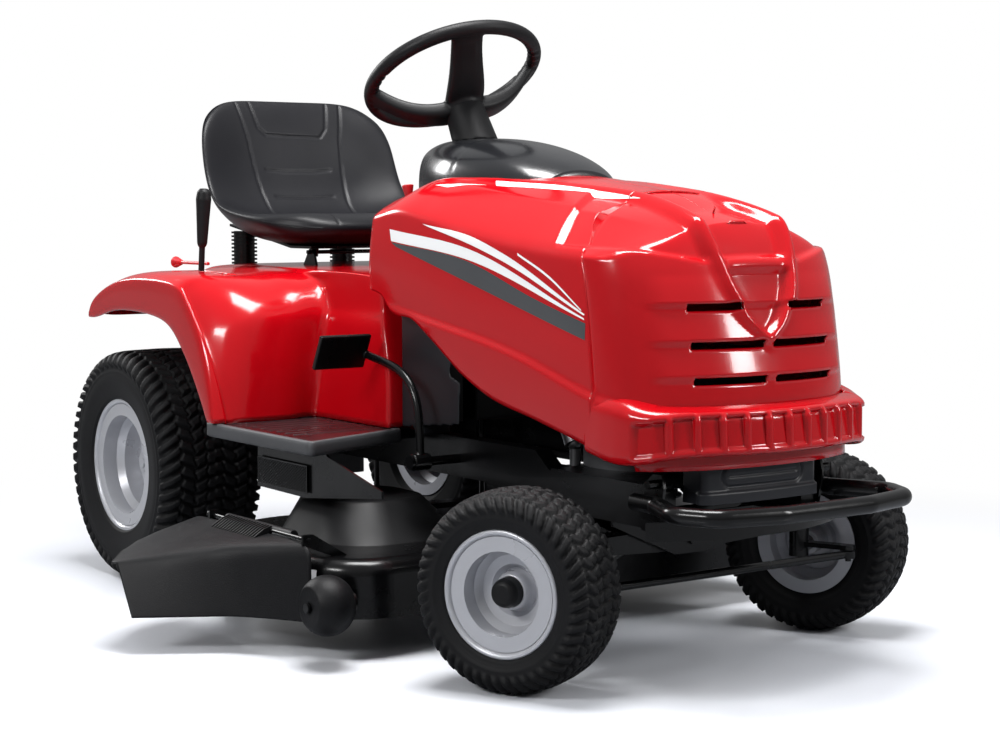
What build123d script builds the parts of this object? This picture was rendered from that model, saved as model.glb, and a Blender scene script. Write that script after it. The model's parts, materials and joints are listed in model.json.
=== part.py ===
"""Riding lawn mower: a front-engine garden tractor with a twin-blade side-discharge deck.

Millimetres, +X forward, +Y to the driver's left, +Z up. The origin lies on the ground under the
middle of the machine's box, so every sub-part is drawn on one of three base planes whose own
coordinates are the distance ahead of the rear axle, the distance from the centreline and the
height over the ground.
"""

from math import cos, degrees, radians, sin, sqrt
import os

from build123d import *

os.makedirs("parts", exist_ok=True)

# ---- driving dimensions -------------------------------------------------------------------

wheelbase = 1185
running_fit = 0.05  # radial clearance of a shaft that turns in its bore
seat_gap = 0.3  # between faces of two bodies that pass or rest on each other

rear_tyre_radius = 228
rear_tyre_width = 213
rear_rim_radius = 122  # over the flange
rear_track_half = 356
front_tyre_radius = 157
front_tyre_width = 128
front_rim_radius = 89
kingpin_half = 273  # kingpin's distance from the centreline
kingpin_offset = 85  # from the kingpin to the middle of the front wheel
steer_right = 24.0  # the wheels stand turned to the left
steer_left = 25.7

bumper_front = 1544  # foremost point, ahead of the rear axle
hitch_reach = 235  # rearmost point, behind the rear axle
deflector_reach = 735  # outermost point on the right
roller_reach = 552  # outermost point on the left, the end of the gauge wheel's pin

axle_x = (hitch_reach - bumper_front) / 2
mid_y = (deflector_reach - roller_reach) / 2

ground = Plane(origin=(axle_x, mid_y, 0))
flank = Plane(origin=(axle_x, mid_y, 0), x_dir=(1, 0, 0), z_dir=(0, -1, 0))
across = Plane(origin=(axle_x, mid_y, 0), x_dir=(0, 1, 0), z_dir=(1, 0, 0))

sides = (("right", -1), ("left", 1))


def place(x, y, z):
    """A point given from the rear axle, the centreline and the ground."""
    return Vector(axle_x + x, mid_y + y, z)


def upright(x, y, z=0):
    """A level plane whose origin stands over one point of the plan."""
    return Plane(origin=place(x, y, z))


def crosswise(x, z, y=0):
    """A plane square to the machine's width, facing left, at one point of the side view."""
    return Plane(origin=place(x, y, z), x_dir=(-1, 0, 0), z_dir=(0, 1, 0))


def finish(piece, label):
    """Labels a finished piece and writes its STEP file."""
    piece.part.label = label
    export_step(piece.part, f"parts/{label}.step")


def slab(plane, points, thickness, both=False, mode=Mode.ADD):
    """A plate: one closed outline on a plane, given a thickness along the plane's normal."""
    with BuildSketch(plane) as outline:
        Polygon(*points, align=None)
    extrude(outline.sketch, amount=thickness, both=both, mode=mode)


def rod(plane, radius, length, mode=Mode.ADD):
    """A round bar, or with Mode.SUBTRACT a bore, that starts on a plane."""
    with BuildSketch(plane) as disc:
        Circle(radius)
    extrude(disc.sketch, amount=length, mode=mode)


# ---- wheels -------------------------------------------------------------------------------

tyre_wall = 12
rim_wall = 3
bead_drop = 20  # bead seat below the flange's edge
rear_rim_half = 90
front_rim_half = 52
shaft_radius = 9.5  # rear half shafts and front stub axles
rear_hub_radius = 26
front_hub_radius = 21
hub_cap_radius = 23
hub_cap_length = 22


def tyre_outline(radius, half, rim_radius, rim_half):
    """Section of a tyre, radius by width: bead, side wall, shoulder and crown, then the cavity."""
    bead = rim_radius - bead_drop
    middle = (radius + rim_radius) / 2
    outer = [
        (bead, rim_half - rim_wall - 5),
        (rim_radius + 3, rim_half - rim_wall - 1),
        (rim_radius + 8, half - 9),
        (middle, half),
        (radius - 22, half - 3),
        (radius - 5, half - 15),
        (radius, half - 42),
    ]
    inner = [
        (radius - tyre_wall, half - 44),
        (radius - tyre_wall - 12, half - 20),
        (middle, half - tyre_wall),
        (rim_radius + 6, half - 24),
        (bead, rim_half - rim_wall - 16),
    ]
    far_outer = [(r, -w) for r, w in reversed(outer)]
    far_inner = [(r, -w) for r, w in reversed(inner)]
    return outer + far_outer + far_inner + inner


def rim_outline(rim_radius, half, hub_radius, dish, hub_in, hub_out, bore):
    """Section of a pressed wheel: flanges, bead seats, drop centre, stepped dish and hub tube."""
    seat = rim_radius - bead_drop
    well = seat - 12
    barrel = [
        (rim_radius, half),
        (rim_radius, half - rim_wall),
        (seat, half - rim_wall - 3),
        (seat, half - 28),
        (well, half - 40),
        (well, -half + 40),
        (seat, -half + 28),
        (seat, -half + rim_wall + 3),
        (rim_radius, -half + rim_wall),
        (rim_radius, -half),
        (seat - rim_wall, -half),
        (seat - rim_wall, -half + 30),
        (well - rim_wall, -half + 42),
        (well - rim_wall, half - 42),
        (seat - rim_wall, half - 30),
        (seat - rim_wall, half),
    ]
    disc = [
        (well, dish + 8),
        (well - 16, dish + 6),
        (well - 26, dish - 6),
        (hub_radius + 14, dish - 6),
        (hub_radius + 6, dish + 4),
        (bore, dish + 4),
        (bore, dish),
        (hub_radius + 8, dish),
        (hub_radius + 12, dish - 10),
        (well - 24, dish - 10),
        (well - 14, dish + 2),
        (well, dish + 4),
    ]
    hub = [(bore, hub_in), (hub_radius, hub_in), (hub_radius, hub_out), (bore, hub_out)]
    return barrel, disc, hub


def wheel_plane(centre, steer, side):
    """Profile plane of a wheel: local x is the radius and local y points outboard."""
    heading = Vector(cos(radians(steer)), sin(radians(steer)), 0)
    return Plane(origin=centre, x_dir=heading * -side, z_dir=(0, 0, -1))


def wheel_axis(plane):
    return Axis(plane.origin, plane.y_dir)


rear_wheel = {}
front_wheel = {}
for name, side in sides:
    rear_wheel[name] = wheel_plane(place(0, side * rear_track_half, rear_tyre_radius), 0, side)
    turn = radians(steer_right if side < 0 else steer_left)
    centre = place(
        wheelbase - side * kingpin_offset * sin(turn),
        side * (kingpin_half + kingpin_offset * cos(turn)),
        front_tyre_radius,
    )
    front_wheel[name] = wheel_plane(centre, degrees(turn), side)
rear_hub_in = -48
rear_hub_out = 44
front_hub_in = -46
front_hub_out = 30
shaft_inner = 8 - rear_track_half  # inner end of a rear half shaft

for name, side in sides:
    for end, plane, radius, width, rim_radius, rim_half, hub_radius, dish, hub_in, hub_out in (
        ("rear", rear_wheel[name], rear_tyre_radius, rear_tyre_width, rear_rim_radius,
         rear_rim_half, rear_hub_radius, 6, rear_hub_in, rear_hub_out),
        ("front", front_wheel[name], front_tyre_radius, front_tyre_width, front_rim_radius,
         front_rim_half, front_hub_radius, 4, front_hub_in, front_hub_out),
    ):
        with BuildPart() as tyre:
            with BuildSketch(plane):
                Polygon(*tyre_outline(radius, width / 2, rim_radius, rim_half), align=None)
            revolve(axis=wheel_axis(plane))
        finish(tyre, f"{end}_tyre_{name}")

        bore = shaft_radius + (0 if end == "rear" else running_fit)
        barrel, disc, hub = rim_outline(
            rim_radius, rim_half, hub_radius, dish, hub_in, hub_out, bore
        )
        with BuildPart() as rim:
            with BuildSketch(plane):
                Polygon(*barrel, align=None)
                Polygon(*disc, align=None)
                Polygon(*hub, align=None)
            revolve(axis=wheel_axis(plane))
            if end == "rear":
                # the half shaft, keyed in the hub, with its outer washer
                with BuildSketch(plane):
                    Polygon((0, shaft_inner), (shaft_radius, shaft_inner),
                            (shaft_radius, hub_out + 1), (16, hub_out + 1), (16, hub_out + 4),
                            (shaft_radius, hub_out + 4), (shaft_radius, hub_out + 7),
                            (0, hub_out + 7), align=None)
                revolve(axis=wheel_axis(plane))
        finish(rim, f"{end}_rim_{name}")

    plane = front_wheel[name]
    with BuildPart() as cap:
        with BuildSketch(plane):
            Polygon(
                (0, front_hub_out + 1),
                (hub_cap_radius, front_hub_out + 1),
                (hub_cap_radius, front_hub_out + 10),
                (hub_cap_radius - 3, front_hub_out + hub_cap_length - 4),
                (hub_cap_radius - 8, front_hub_out + hub_cap_length),
                (0, front_hub_out + hub_cap_length),
                align=None,
            )
            Polygon(
                (front_hub_radius, front_hub_out - 8),
                (hub_cap_radius, front_hub_out - 8),
                (hub_cap_radius, front_hub_out + 2),
                (front_hub_radius, front_hub_out + 2),
                align=None,
            )
        revolve(axis=wheel_axis(plane))
    finish(cap, f"hub_cap_{name}")

# ---- frame --------------------------------------------------------------------------------

rail_half = 165  # outer face of each frame rail
rail_flange = 32
rail_wall = 4
rail_top = 338
rail_rear = -190
rail_front = 1335
rail_bottom = 268
nose_rail_top = 308  # the rails step down under the engine
nose_rail_bottom = 244
guide_x = (440, 850)  # the four guides that the deck's hanger rods slide in
guide_y = 122
pedal_x = 781
pedal_y = -245
pedal_pivot_z = 300
pedal_pin = 8
rail_points = [
    (rail_rear, rail_bottom),
    (1000, rail_bottom),
    (1040, nose_rail_bottom),
    (rail_front, nose_rail_bottom),
    (rail_front, nose_rail_top),
    (1050, nose_rail_top),
    (1010, rail_top),
    (rail_rear, rail_top),
]
for name, side in sides:
    outer = flank.offset(-side * rail_half)
    with BuildPart() as rail:
        with BuildSketch(outer) as web:
            Polygon(*rail_points, align=None)
            fillet(web.vertices(), 8)
        extrude(amount=side * rail_flange)
        with BuildSketch(flank.offset(-side * (rail_half - rail_wall))) as hollow:
            Polygon(*rail_points, align=None)
            fillet(hollow.vertices(), 8)
            offset(amount=-rail_wall)
        extrude(amount=side * rail_flange, mode=Mode.SUBTRACT)
        for x in guide_x:
            slab(
                ground.offset(rail_bottom + rail_wall),
                [(x - 14, side * (guide_y - 12)), (x + 14, side * (guide_y - 12)),
                 (x + 14, side * (rail_half - rail_wall)), (x - 14, side * (rail_half - rail_wall))],
                4,
            )
            rod(upright(x, side * guide_y, rail_bottom), 5 + seat_gap, 16, Mode.SUBTRACT)
        if name == "right":
            rod(crosswise(pedal_x, pedal_pivot_z, pedal_y - 18), pedal_pin,
                -pedal_y + 18 - rail_half + rail_wall)
            rod(crosswise(pedal_x, pedal_pivot_z, pedal_y - 22), pedal_pin + 5, 4)
    finish(rail, f"frame_rail_{name}")

plate = 4
engine_x = 1100
hitch_z = 262
hitch_plate = 6
hitch_hole = 8
hitch_hole_x = rail_rear - 26
with BuildPart() as hitch:
    with BuildSketch(ground.offset(hitch_z)) as tongue:
        Polygon(
            (-hitch_reach + 2, -22), (-hitch_reach, -16), (-hitch_reach, 16), (-hitch_reach + 2, 22),
            (rail_rear - plate, 60), (rail_rear - plate, -60), align=None,
        )
    extrude(amount=hitch_plate)
    slab(
        across.offset(rail_rear - plate - hitch_plate),
        [(-60, hitch_z), (60, hitch_z), (60, hitch_z + 44), (-60, hitch_z + 44)],
        hitch_plate,
    )
    rod(upright(hitch_hole_x, 0, hitch_z - 1), hitch_hole, hitch_plate + 2, Mode.SUBTRACT)
finish(hitch, "tow_hitch")

# ---- front axle and steering --------------------------------------------------------------

beam_z = 200  # height of the pivot pin
beam_half_depth = 18
beam_width = 40
axle_pin_radius = 8
bracket_plate = 6
bracket_spread = 58  # clear length between the two bracket plates
boss_radius = 17
boss_bottom = 184
boss_top = 232
bracket_rear = wheelbase - bracket_spread / 2

with BuildPart() as axle_bracket:
    for x in (bracket_rear - bracket_plate, wheelbase + bracket_spread / 2):
        slab(
            across.offset(x),
            [(-rail_half, nose_rail_bottom), (rail_half, nose_rail_bottom), (rail_half, 236),
             (34, beam_z - 22), (-34, beam_z - 22), (-rail_half, 236)],
            bracket_plate,
        )
        rod(Plane(place(x - 1, 0, beam_z), (0, 1, 0), (1, 0, 0)), axle_pin_radius + running_fit,
            bracket_plate + 2, Mode.SUBTRACT)
    # the pin that the beam rocks on
    start = bracket_rear - bracket_plate - 6
    rod(Plane(place(start, 0, beam_z), (0, 1, 0), (1, 0, 0)), axle_pin_radius,
        bracket_spread + 2 * bracket_plate + 12)
    rod(Plane(place(start - 5, 0, beam_z), (0, 1, 0), (1, 0, 0)), axle_pin_radius + 5, 5)
finish(axle_bracket, "front_axle_brackets")

with BuildPart() as beam:
    slab(
        across.offset(wheelbase),
        [(-kingpin_half, 192), (-kingpin_half, 214), (-60, beam_z + beam_half_depth),
         (60, beam_z + beam_half_depth), (kingpin_half, 214), (kingpin_half, 192),
         (60, beam_z - beam_half_depth), (-60, beam_z - beam_half_depth)],
        beam_width / 2,
        both=True,
    )
    rod(Plane(place(bracket_rear + seat_gap, 0, beam_z), (0, 1, 0), (1, 0, 0)), 20,
        bracket_spread - 2 * seat_gap)
    rod(Plane(place(bracket_rear, 0, beam_z), (0, 1, 0), (1, 0, 0)), axle_pin_radius + running_fit,
        bracket_spread, Mode.SUBTRACT)
    for _, side in sides:
        with BuildSketch(upright(wheelbase, side * kingpin_half, boss_bottom - 5)):
            Circle(boss_radius + 9)
        extrude(amount=5 + boss_top - boss_bottom + 5, mode=Mode.SUBTRACT)
        rod(upright(wheelbase, side * kingpin_half, boss_bottom), boss_radius,
            boss_top - boss_bottom)
        slab(
            ground.offset(192),
            [(wheelbase - 12, side * (kingpin_half - boss_radius - 12)),
             (wheelbase + 12, side * (kingpin_half - boss_radius - 12)),
             (wheelbase + 8, side * (kingpin_half - 4)), (wheelbase - 8, side * (kingpin_half - 4))],
            22,
        )
        rod(upright(wheelbase, side * kingpin_half, boss_bottom - 1), shaft_radius + running_fit,
            boss_top - boss_bottom + 2, Mode.SUBTRACT)
finish(beam, "front_axle")

link_turn = radians(steer_right)  # both arms are drawn parallel, so the links keep their length
tie_arm = 90
drag_arm = 44
drag_arm_lead = radians(36.87)  # of the drag link's arm from straight ahead
stud_radius = 5
arm_z = 158
arm_plate = 8
link_z = 150
link_radius = 7
eye_radius = 11
eye_depth = 12
loose_bore = 9.5  # the far eyes are open joints: the pins float in them


def swung(x, y, reach, lead):
    """The end of an arm that stands at a lead angle when the wheels point straight ahead."""
    return (x + reach * cos(lead + link_turn), y + reach * sin(lead + link_turn))


def link(start, end, loose_radius):
    """A bar with an eye on each end, the far one bored loose."""
    run = Vector(end[0] - start[0], end[1] - start[1], 0)
    with BuildPart() as bar:
        rod(Plane(place(*start, link_z), z_dir=run), link_radius, run.length)
        for point in (start, end):
            rod(upright(*point, link_z - eye_depth / 2), eye_radius + 3, eye_depth)
        rod(upright(*start, link_z - eye_depth), stud_radius + running_fit, 2 * eye_depth,
            Mode.SUBTRACT)
        rod(upright(*end, link_z - eye_depth), loose_radius, 2 * eye_depth, Mode.SUBTRACT)
    return bar


tie_ends = {name: swung(wheelbase, side * kingpin_half, tie_arm, 0) for name, side in sides}
drag_knuckle = swung(wheelbase, -kingpin_half, drag_arm, drag_arm_lead)
for name, side in sides:
    plane = front_wheel[name]
    outboard = plane.y_dir
    kingpin = place(wheelbase, side * kingpin_half, front_tyre_radius)
    with BuildPart() as knuckle:
        rod(upright(wheelbase, side * kingpin_half, 140), 17, boss_bottom - seat_gap - 140)
        rod(upright(wheelbase, side * kingpin_half, boss_bottom - 4), shaft_radius,
            boss_top + 14 - boss_bottom + 4)
        rod(upright(wheelbase, side * kingpin_half, boss_top + seat_gap), 15, 4)
        shoulder = kingpin_offset + front_hub_in - seat_gap
        rod(Plane(kingpin, z_dir=outboard), 14, shoulder)
        rod(Plane(kingpin + outboard * (shoulder - 4), z_dir=outboard), shaft_radius,
            kingpin_offset + front_hub_out - shoulder + 4)
        holes = [tie_ends[name]] + ([drag_knuckle] if name == "right" else [])
        for hole in holes:
            reach = Vector(hole[0] - wheelbase, hole[1] - side * kingpin_half, 0)
            aside = Vector(-reach.Y, reach.X, 0).normalized() * 11
            slab(
                ground.offset(arm_z),
                [(wheelbase + aside.X, side * kingpin_half + aside.Y),
                 (hole[0] + aside.X, hole[1] + aside.Y), (hole[0] - aside.X, hole[1] - aside.Y),
                 (wheelbase - aside.X, side * kingpin_half - aside.Y)],
                arm_plate,
            )
            rod(upright(*hole, arm_z), 11, arm_plate)
            rod(upright(*hole, link_z - eye_depth), stud_radius, arm_z - link_z + eye_depth)
    finish(knuckle, f"knuckle_{name}")

finish(link(tie_ends["right"], tie_ends["left"], loose_bore), "tie_rod")

quadrant_x = 980
quadrant_z = 173
quadrant_plate = 7
gear_module = 3
pinion_teeth = 10
quadrant_teeth = 60  # of the whole circle that the toothed arc is part of
pinion_pitch = gear_module * pinion_teeth / 2
quadrant_pitch = gear_module * quadrant_teeth / 2
pinion_x = quadrant_x - (quadrant_pitch - pinion_pitch)
quadrant_rim = 15
tooth_half = gear_module * 0.66  # half thickness of a tooth on the pitch circle
addendum = 2.2
dedendum = 3.2
post_radius = 8
steering_plate_z = rail_bottom - plate

quadrant_pin = swung(quadrant_x, 0, drag_arm, drag_arm_lead)


def tooth(centre_x, pitch, angle, outward):
    """Trapezoid tooth, in plan, whose tip points away from or towards the gear's centre."""
    tip, root = pitch + outward * addendum, pitch - outward * (dedendum + 1)
    points = [(root, 3.0), (tip, 1.0), (tip, -1.0), (root, -3.0)]
    c, s = cos(radians(angle)), sin(radians(angle))
    return [(centre_x + r * c - w * s, r * s + w * c) for r, w in points]


with BuildPart() as quadrant:
    with BuildSketch(ground.offset(quadrant_z)) as form:
        with BuildLine():
            inner, outer = quadrant_pitch + dedendum, quadrant_pitch + quadrant_rim
            ends = (140, 128)  # start and sweep of the toothed arc
            a = CenterArc((quadrant_x, 0), inner, ends[0], ends[1])
            b = CenterArc((quadrant_x, 0), outer, ends[0], ends[1])
            Line(a @ 0, b @ 0)
            Line(a @ 1, b @ 1)
        make_face()
        with Locations((quadrant_x, 0)):
            Circle(18)
        for angle in (ends[0] + 4, sum(ends) - 4):
            c, s = cos(radians(angle)), sin(radians(angle))
            reach = quadrant_pitch + quadrant_rim - 3
            Polygon(
                (quadrant_x - 8 * s, 8 * c), (quadrant_x + 8 * s, -8 * c),
                (quadrant_x + reach * c + 8 * s, reach * s - 8 * c),
                (quadrant_x + reach * c - 8 * s, reach * s + 8 * c), align=None,
            )
        for count in range(16):
            Polygon(*tooth(quadrant_x, quadrant_pitch, 159 + 6 * count, -1), align=None)
        pin_x, pin_y = quadrant_pin
        reach = Vector(pin_x - quadrant_x, pin_y, 0)
        aside = Vector(-reach.Y, reach.X, 0).normalized() * 11
        Polygon((quadrant_x + aside.X, aside.Y), (pin_x + aside.X, pin_y + aside.Y),
                (pin_x - aside.X, pin_y - aside.Y), (quadrant_x - aside.X, -aside.Y), align=None)
        with Locations(quadrant_pin):
            Circle(11)
    extrude(amount=quadrant_plate)
    rod(upright(*quadrant_pin, link_z - eye_depth / 2 + 1), stud_radius - 1, quadrant_z - link_z + 6)
    rod(upright(quadrant_x, 0, quadrant_z - 1), post_radius + running_fit, quadrant_plate + 2,
        Mode.SUBTRACT)
finish(quadrant, "steering_quadrant")
finish(link(drag_knuckle, quadrant_pin, loose_bore + 1), "drag_link")

# Cross members tie the rails and carry the boards, the steering, the lift lever and the engine.
lever_x = 150
lever_y = -350
lever_pivot_z = 486
lever_pin = 8
board_wall = 3
board_top = 344
board_half = 440
support_depth = 20
support_width = 24
support_x = (400, 600)
tank_x = 775
tank_z = 560
with BuildPart() as cross_members:
    slab(
        across.offset(rail_rear - plate),
        [(-rail_half, 268), (-135, 236), (135, 236), (rail_half, 268), (rail_half, rail_top),
         (-rail_half, rail_top)],
        plate,
    )
    with BuildSketch(ground.offset(nose_rail_top)):
        Polygon(
            (1055, -rail_half), (rail_front, -rail_half), (rail_front, rail_half),
            (1055, rail_half), align=None,
        )
        with Locations((1130, 0)):
            Circle(70, mode=Mode.SUBTRACT)
    extrude(amount=plate)
    for x in support_x:
        for _, side in sides:
            slab(
                ground.offset(board_top - board_wall - support_depth),
                [(x, side * rail_half), (x + support_width, side * rail_half),
                 (x + support_width, side * (board_half - 46)), (x, side * (board_half - 46))],
                support_depth,
            )
    # shelf of the fuel tank, on two legs
    for _, side in sides:
        slab(
            flank.offset(-side * (rail_half - rail_flange)),
            [(tank_x - 20, rail_top), (tank_x + 20, rail_top), (tank_x + 20, tank_z),
             (tank_x - 20, tank_z)], -side * 4,
        )
    slab(
        ground.offset(tank_z - 4),
        [(tank_x - 60, -rail_half + 28), (tank_x + 60, -rail_half + 28),
         (tank_x + 60, rail_half - 28), (tank_x - 60, rail_half - 28)], 4,
    )
    rod(upright(tank_x - 2, 0, tank_z - 5), 30, 6, Mode.SUBTRACT)
    slab(
        flank.offset(rail_half),
        [(lever_x - 16, rail_bottom + 20), (lever_x + 16, rail_bottom + 20),
         (lever_x + 16, lever_pivot_z + 14), (lever_x - 16, lever_pivot_z + 14)], plate,
    )
    rod(crosswise(lever_x, lever_pivot_z, lever_y - 14), lever_pin, -lever_y + 14 - rail_half)
    slab(
        ground.offset(steering_plate_z),
        [(870, -rail_half), (995, -rail_half), (995, rail_half), (870, rail_half)], plate,
    )
    rod(upright(quadrant_x, 0, quadrant_z - 5), post_radius, steering_plate_z - quadrant_z + 5)
    rod(upright(quadrant_x, 0, quadrant_z - 5), post_radius + 4, 5 - seat_gap)
    rod(upright(quadrant_x, 0, quadrant_z + quadrant_plate + seat_gap), post_radius + 5,
        steering_plate_z - quadrant_z - quadrant_plate - seat_gap)
    rod(upright(pinion_x, 0, steering_plate_z - 14), 18, 14)
    rod(upright(pinion_x, 0, steering_plate_z - 20), 10 + running_fit, 30, Mode.SUBTRACT)
finish(cross_members, "frame_plates")

wheel_centre = (523.6, 0, 988.6)
column_tilt = radians(30)
column_down = Vector(sin(column_tilt), 0, -cos(column_tilt))
swivel_run = (pinion_x - wheel_centre[0]) / column_down.X  # from the rim's plane to the swivel
swivel = place(pinion_x, 0, wheel_centre[2] + column_down.Z * swivel_run)
swivel_ball = 14
column_shaft_radius = 9.5


def down_column(run):
    """A plane square to the steering column, so far below the rim, facing down the column."""
    return Plane(place(*wheel_centre) + column_down * run, x_dir=(0, 1, 0), z_dir=column_down)


with BuildPart() as pinion:
    with BuildSketch(ground.offset(quadrant_z - 2)):
        with Locations((pinion_x, 0)):
            Circle(pinion_pitch - dedendum)
        for count in range(pinion_teeth):
            points = tooth(0, pinion_pitch, 180 + 360 / pinion_teeth * count, 1)
            Polygon(*[(pinion_x + x, y) for x, y in points], align=None)
    extrude(amount=quadrant_plate + 4)
    rod(upright(pinion_x, 0, quadrant_z), 10, swivel.Z - quadrant_z)
    with Locations(swivel):
        Sphere(swivel_ball)
finish(pinion, "steering_pinion")

rim_radius = 160
rim_tube = 14
hub_drop = 58
with BuildPart() as column_shaft:
    rod(down_column(hub_drop - 16), column_shaft_radius, swivel_run - hub_drop - swivel_ball + 10)
    rod(down_column(swivel_run - 26), swivel_ball + 5, 26)
    with Locations(swivel):
        Sphere(swivel_ball + seat_gap, mode=Mode.SUBTRACT)
finish(column_shaft, "steering_shaft")

with BuildPart(down_column(0)) as steering_wheel:
    Torus(rim_radius, rim_tube)
    with BuildSketch(down_column(hub_drop - 18)):
        Circle(34)
    extrude(amount=34, taper=6)
    for turn, half_width, reach in ((0, 26, 0), (100, 17, 0), (-100, 17, 0)):
        spoke_plane = Plane(
            down_column(0).origin,
            x_dir=Vector(cos(column_tilt), 0, sin(column_tilt)).rotate(
                Axis((0, 0, 0), -column_down), turn - 20
            ),
            z_dir=Vector(0, 1, 0).rotate(Axis((0, 0, 0), -column_down), turn - 20) * -1,
        )
        with BuildSketch(spoke_plane):
            Polygon(
                (rim_radius + 2, 6), (rim_radius - 6, -9), (rim_radius - 22, -14),
                (64, 4 - hub_drop), (20, -8 - hub_drop), (20, 14 - hub_drop), (50, 18 - hub_drop),
                (rim_radius - 34, 2), align=None,
            )
        extrude(amount=half_width, both=True)
    rod(down_column(hub_drop - 17), column_shaft_radius, 60, Mode.SUBTRACT)
finish(steering_wheel, "steering_wheel")

tube_start = hub_drop + 30
with BuildPart() as column_tube:
    rod(down_column(tube_start), 16, 400)
    rod(down_column(tube_start - 1), column_shaft_radius + running_fit, 402, Mode.SUBTRACT)
finish(column_tube, "steering_column")

cover_start = hub_drop + 17
cover_end = 170

# ---- transaxle and its belt ---------------------------------------------------------------

axle_tube_radius = 24
belt_z = 288
belt_depth = 9
drive_pulley_radius = 60
engine_pulley_radius = 46
gearbox_x = 70
belt_gap = 0.4

with BuildPart() as transaxle:
    rod(crosswise(0, rear_tyre_radius, -(rear_track_half - 60)), axle_tube_radius,
        2 * (rear_track_half - 60))
    rod(crosswise(0, rear_tyre_radius, -62), 50, 124)
    with BuildSketch(ground.offset(rear_tyre_radius - 40)) as case:
        Polygon((-20, -52), (gearbox_x + 48, -52), (gearbox_x + 48, 52), (-20, 52), align=None)
        fillet(case.vertices(), 18)
    extrude(amount=82)
    rod(upright(gearbox_x, 0, rear_tyre_radius + 40), 26, 10)
    rod(upright(gearbox_x, 0, rear_tyre_radius), 8 + running_fit, 60, Mode.SUBTRACT)
    for _, side in sides:
        foot = side * (rail_half - rail_flange / 2)
        slab(
            flank.offset(-foot - 6),
            [(-30, rear_tyre_radius), (30, rear_tyre_radius), (36, rail_bottom),
             (-36, rail_bottom)], 12,
        )
    rod(crosswise(0, rear_tyre_radius, -(rear_track_half - 59)), shaft_radius + running_fit,
        rear_track_half - 59 - 6, Mode.SUBTRACT)
    rod(crosswise(0, rear_tyre_radius, 6), shaft_radius + running_fit, rear_track_half - 59 - 6,
        Mode.SUBTRACT)
finish(transaxle, "transaxle")

def pulley(x, radius, low, high):
    """Flat-bottomed belt groove between two flanges on a plain hub."""
    rod(upright(x, 0, low - 3), radius + 7, 3)
    rod(upright(x, 0, low), radius, high - low)
    rod(upright(x, 0, high), radius + 7, 3)


with BuildPart() as drive_pulley:
    pulley(gearbox_x, drive_pulley_radius, belt_z - 1, belt_z + belt_depth + 1)
    rod(upright(gearbox_x, 0, rear_tyre_radius + 4), 8, belt_z - rear_tyre_radius)
finish(drive_pulley, "drive_pulley")

crank_radius = 12.7
engine_z = nose_rail_top + plate
with BuildPart() as crank:
    pulley(engine_x, engine_pulley_radius, belt_z - 1, belt_z + belt_depth + 1)
    pulley(engine_x, engine_pulley_radius + 8, belt_z - 26, belt_z - 14)
    rod(upright(engine_x, 0, belt_z - 34), 20, 30)
    rod(upright(engine_x, 0, belt_z - 20), crank_radius, engine_z + 152 - belt_z + 20)
    rod(upright(engine_x, 0, engine_z + 150), 79, 60)
finish(crank, "crankshaft")

with BuildPart() as belt:
    with BuildSketch(ground.offset(belt_z)):
        for margin, mode in ((belt_gap + 6, Mode.ADD), (belt_gap, Mode.SUBTRACT)):
            run = engine_x - gearbox_x
            lead = (drive_pulley_radius - engine_pulley_radius) / run
            big, small = drive_pulley_radius + margin, engine_pulley_radius + margin
            c, s = sqrt(1 - lead * lead), lead
            Polygon(
                (gearbox_x + big * s, big * c), (engine_x + small * s, small * c),
                (engine_x + small * s, -small * c), (gearbox_x + big * s, -big * c),
                align=None, mode=mode,
            )
            with Locations((gearbox_x, 0)):
                Circle(big, mode=mode)
            with Locations((engine_x, 0)):
                Circle(small, mode=mode)
    extrude(amount=belt_depth)
finish(belt, "drive_belt")

# ---- engine -------------------------------------------------------------------------------

crankcase_radius = 105
cylinder_z = engine_z + 54
with BuildPart() as engine:
    rod(upright(engine_x, 0, engine_z), crankcase_radius, 96)
    rod(upright(engine_x, 0, engine_z + 96), crankcase_radius - 8, 12)
    with BuildSketch(across.offset(engine_x + 60)) as barrel:
        with Locations((0, cylinder_z)):
            RectangleRounded(110, 96, 14)
    extrude(amount=60)
    for count in range(6):
        with BuildSketch(across.offset(engine_x + 122 + 12 * count)) as fin:
            with Locations((0, cylinder_z)):
                RectangleRounded(136, 104, 18)
        extrude(amount=5)
    with BuildSketch(across.offset(engine_x + 118)) as core:
        with Locations((0, cylinder_z)):
            Circle(46)
    extrude(amount=80)
    rod(upright(engine_x, 0, engine_z - 1), crank_radius + running_fit, 112, Mode.SUBTRACT)
finish(engine, "engine_block")

cowl_floor = engine_z + 108


def cowl_block(inset, low):
    """The blower housing's rounded box, or with an inset the room in it."""
    with BuildPart() as block:
        with BuildSketch(ground.offset(low)):
            with Locations((engine_x + 20, 0)):
                RectangleRounded(330 - 2 * inset, 300 - 2 * inset, 60 - inset)
        extrude(amount=cowl_floor + 92 - inset - low)
        fillet(block.faces().sort_by(Axis.Z)[-1].edges(), 30 - inset)
    return block.part


with BuildPart() as cowl:
    add(cowl_block(0, cowl_floor))
    add(cowl_block(4, cowl_floor + 3), mode=Mode.SUBTRACT)
    rod(upright(engine_x, 0, cowl_floor + 90), 92, 14)
    rod(upright(engine_x, 0, cowl_floor - 1), 80, 120, Mode.SUBTRACT)
finish(cowl, "blower_housing")

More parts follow.
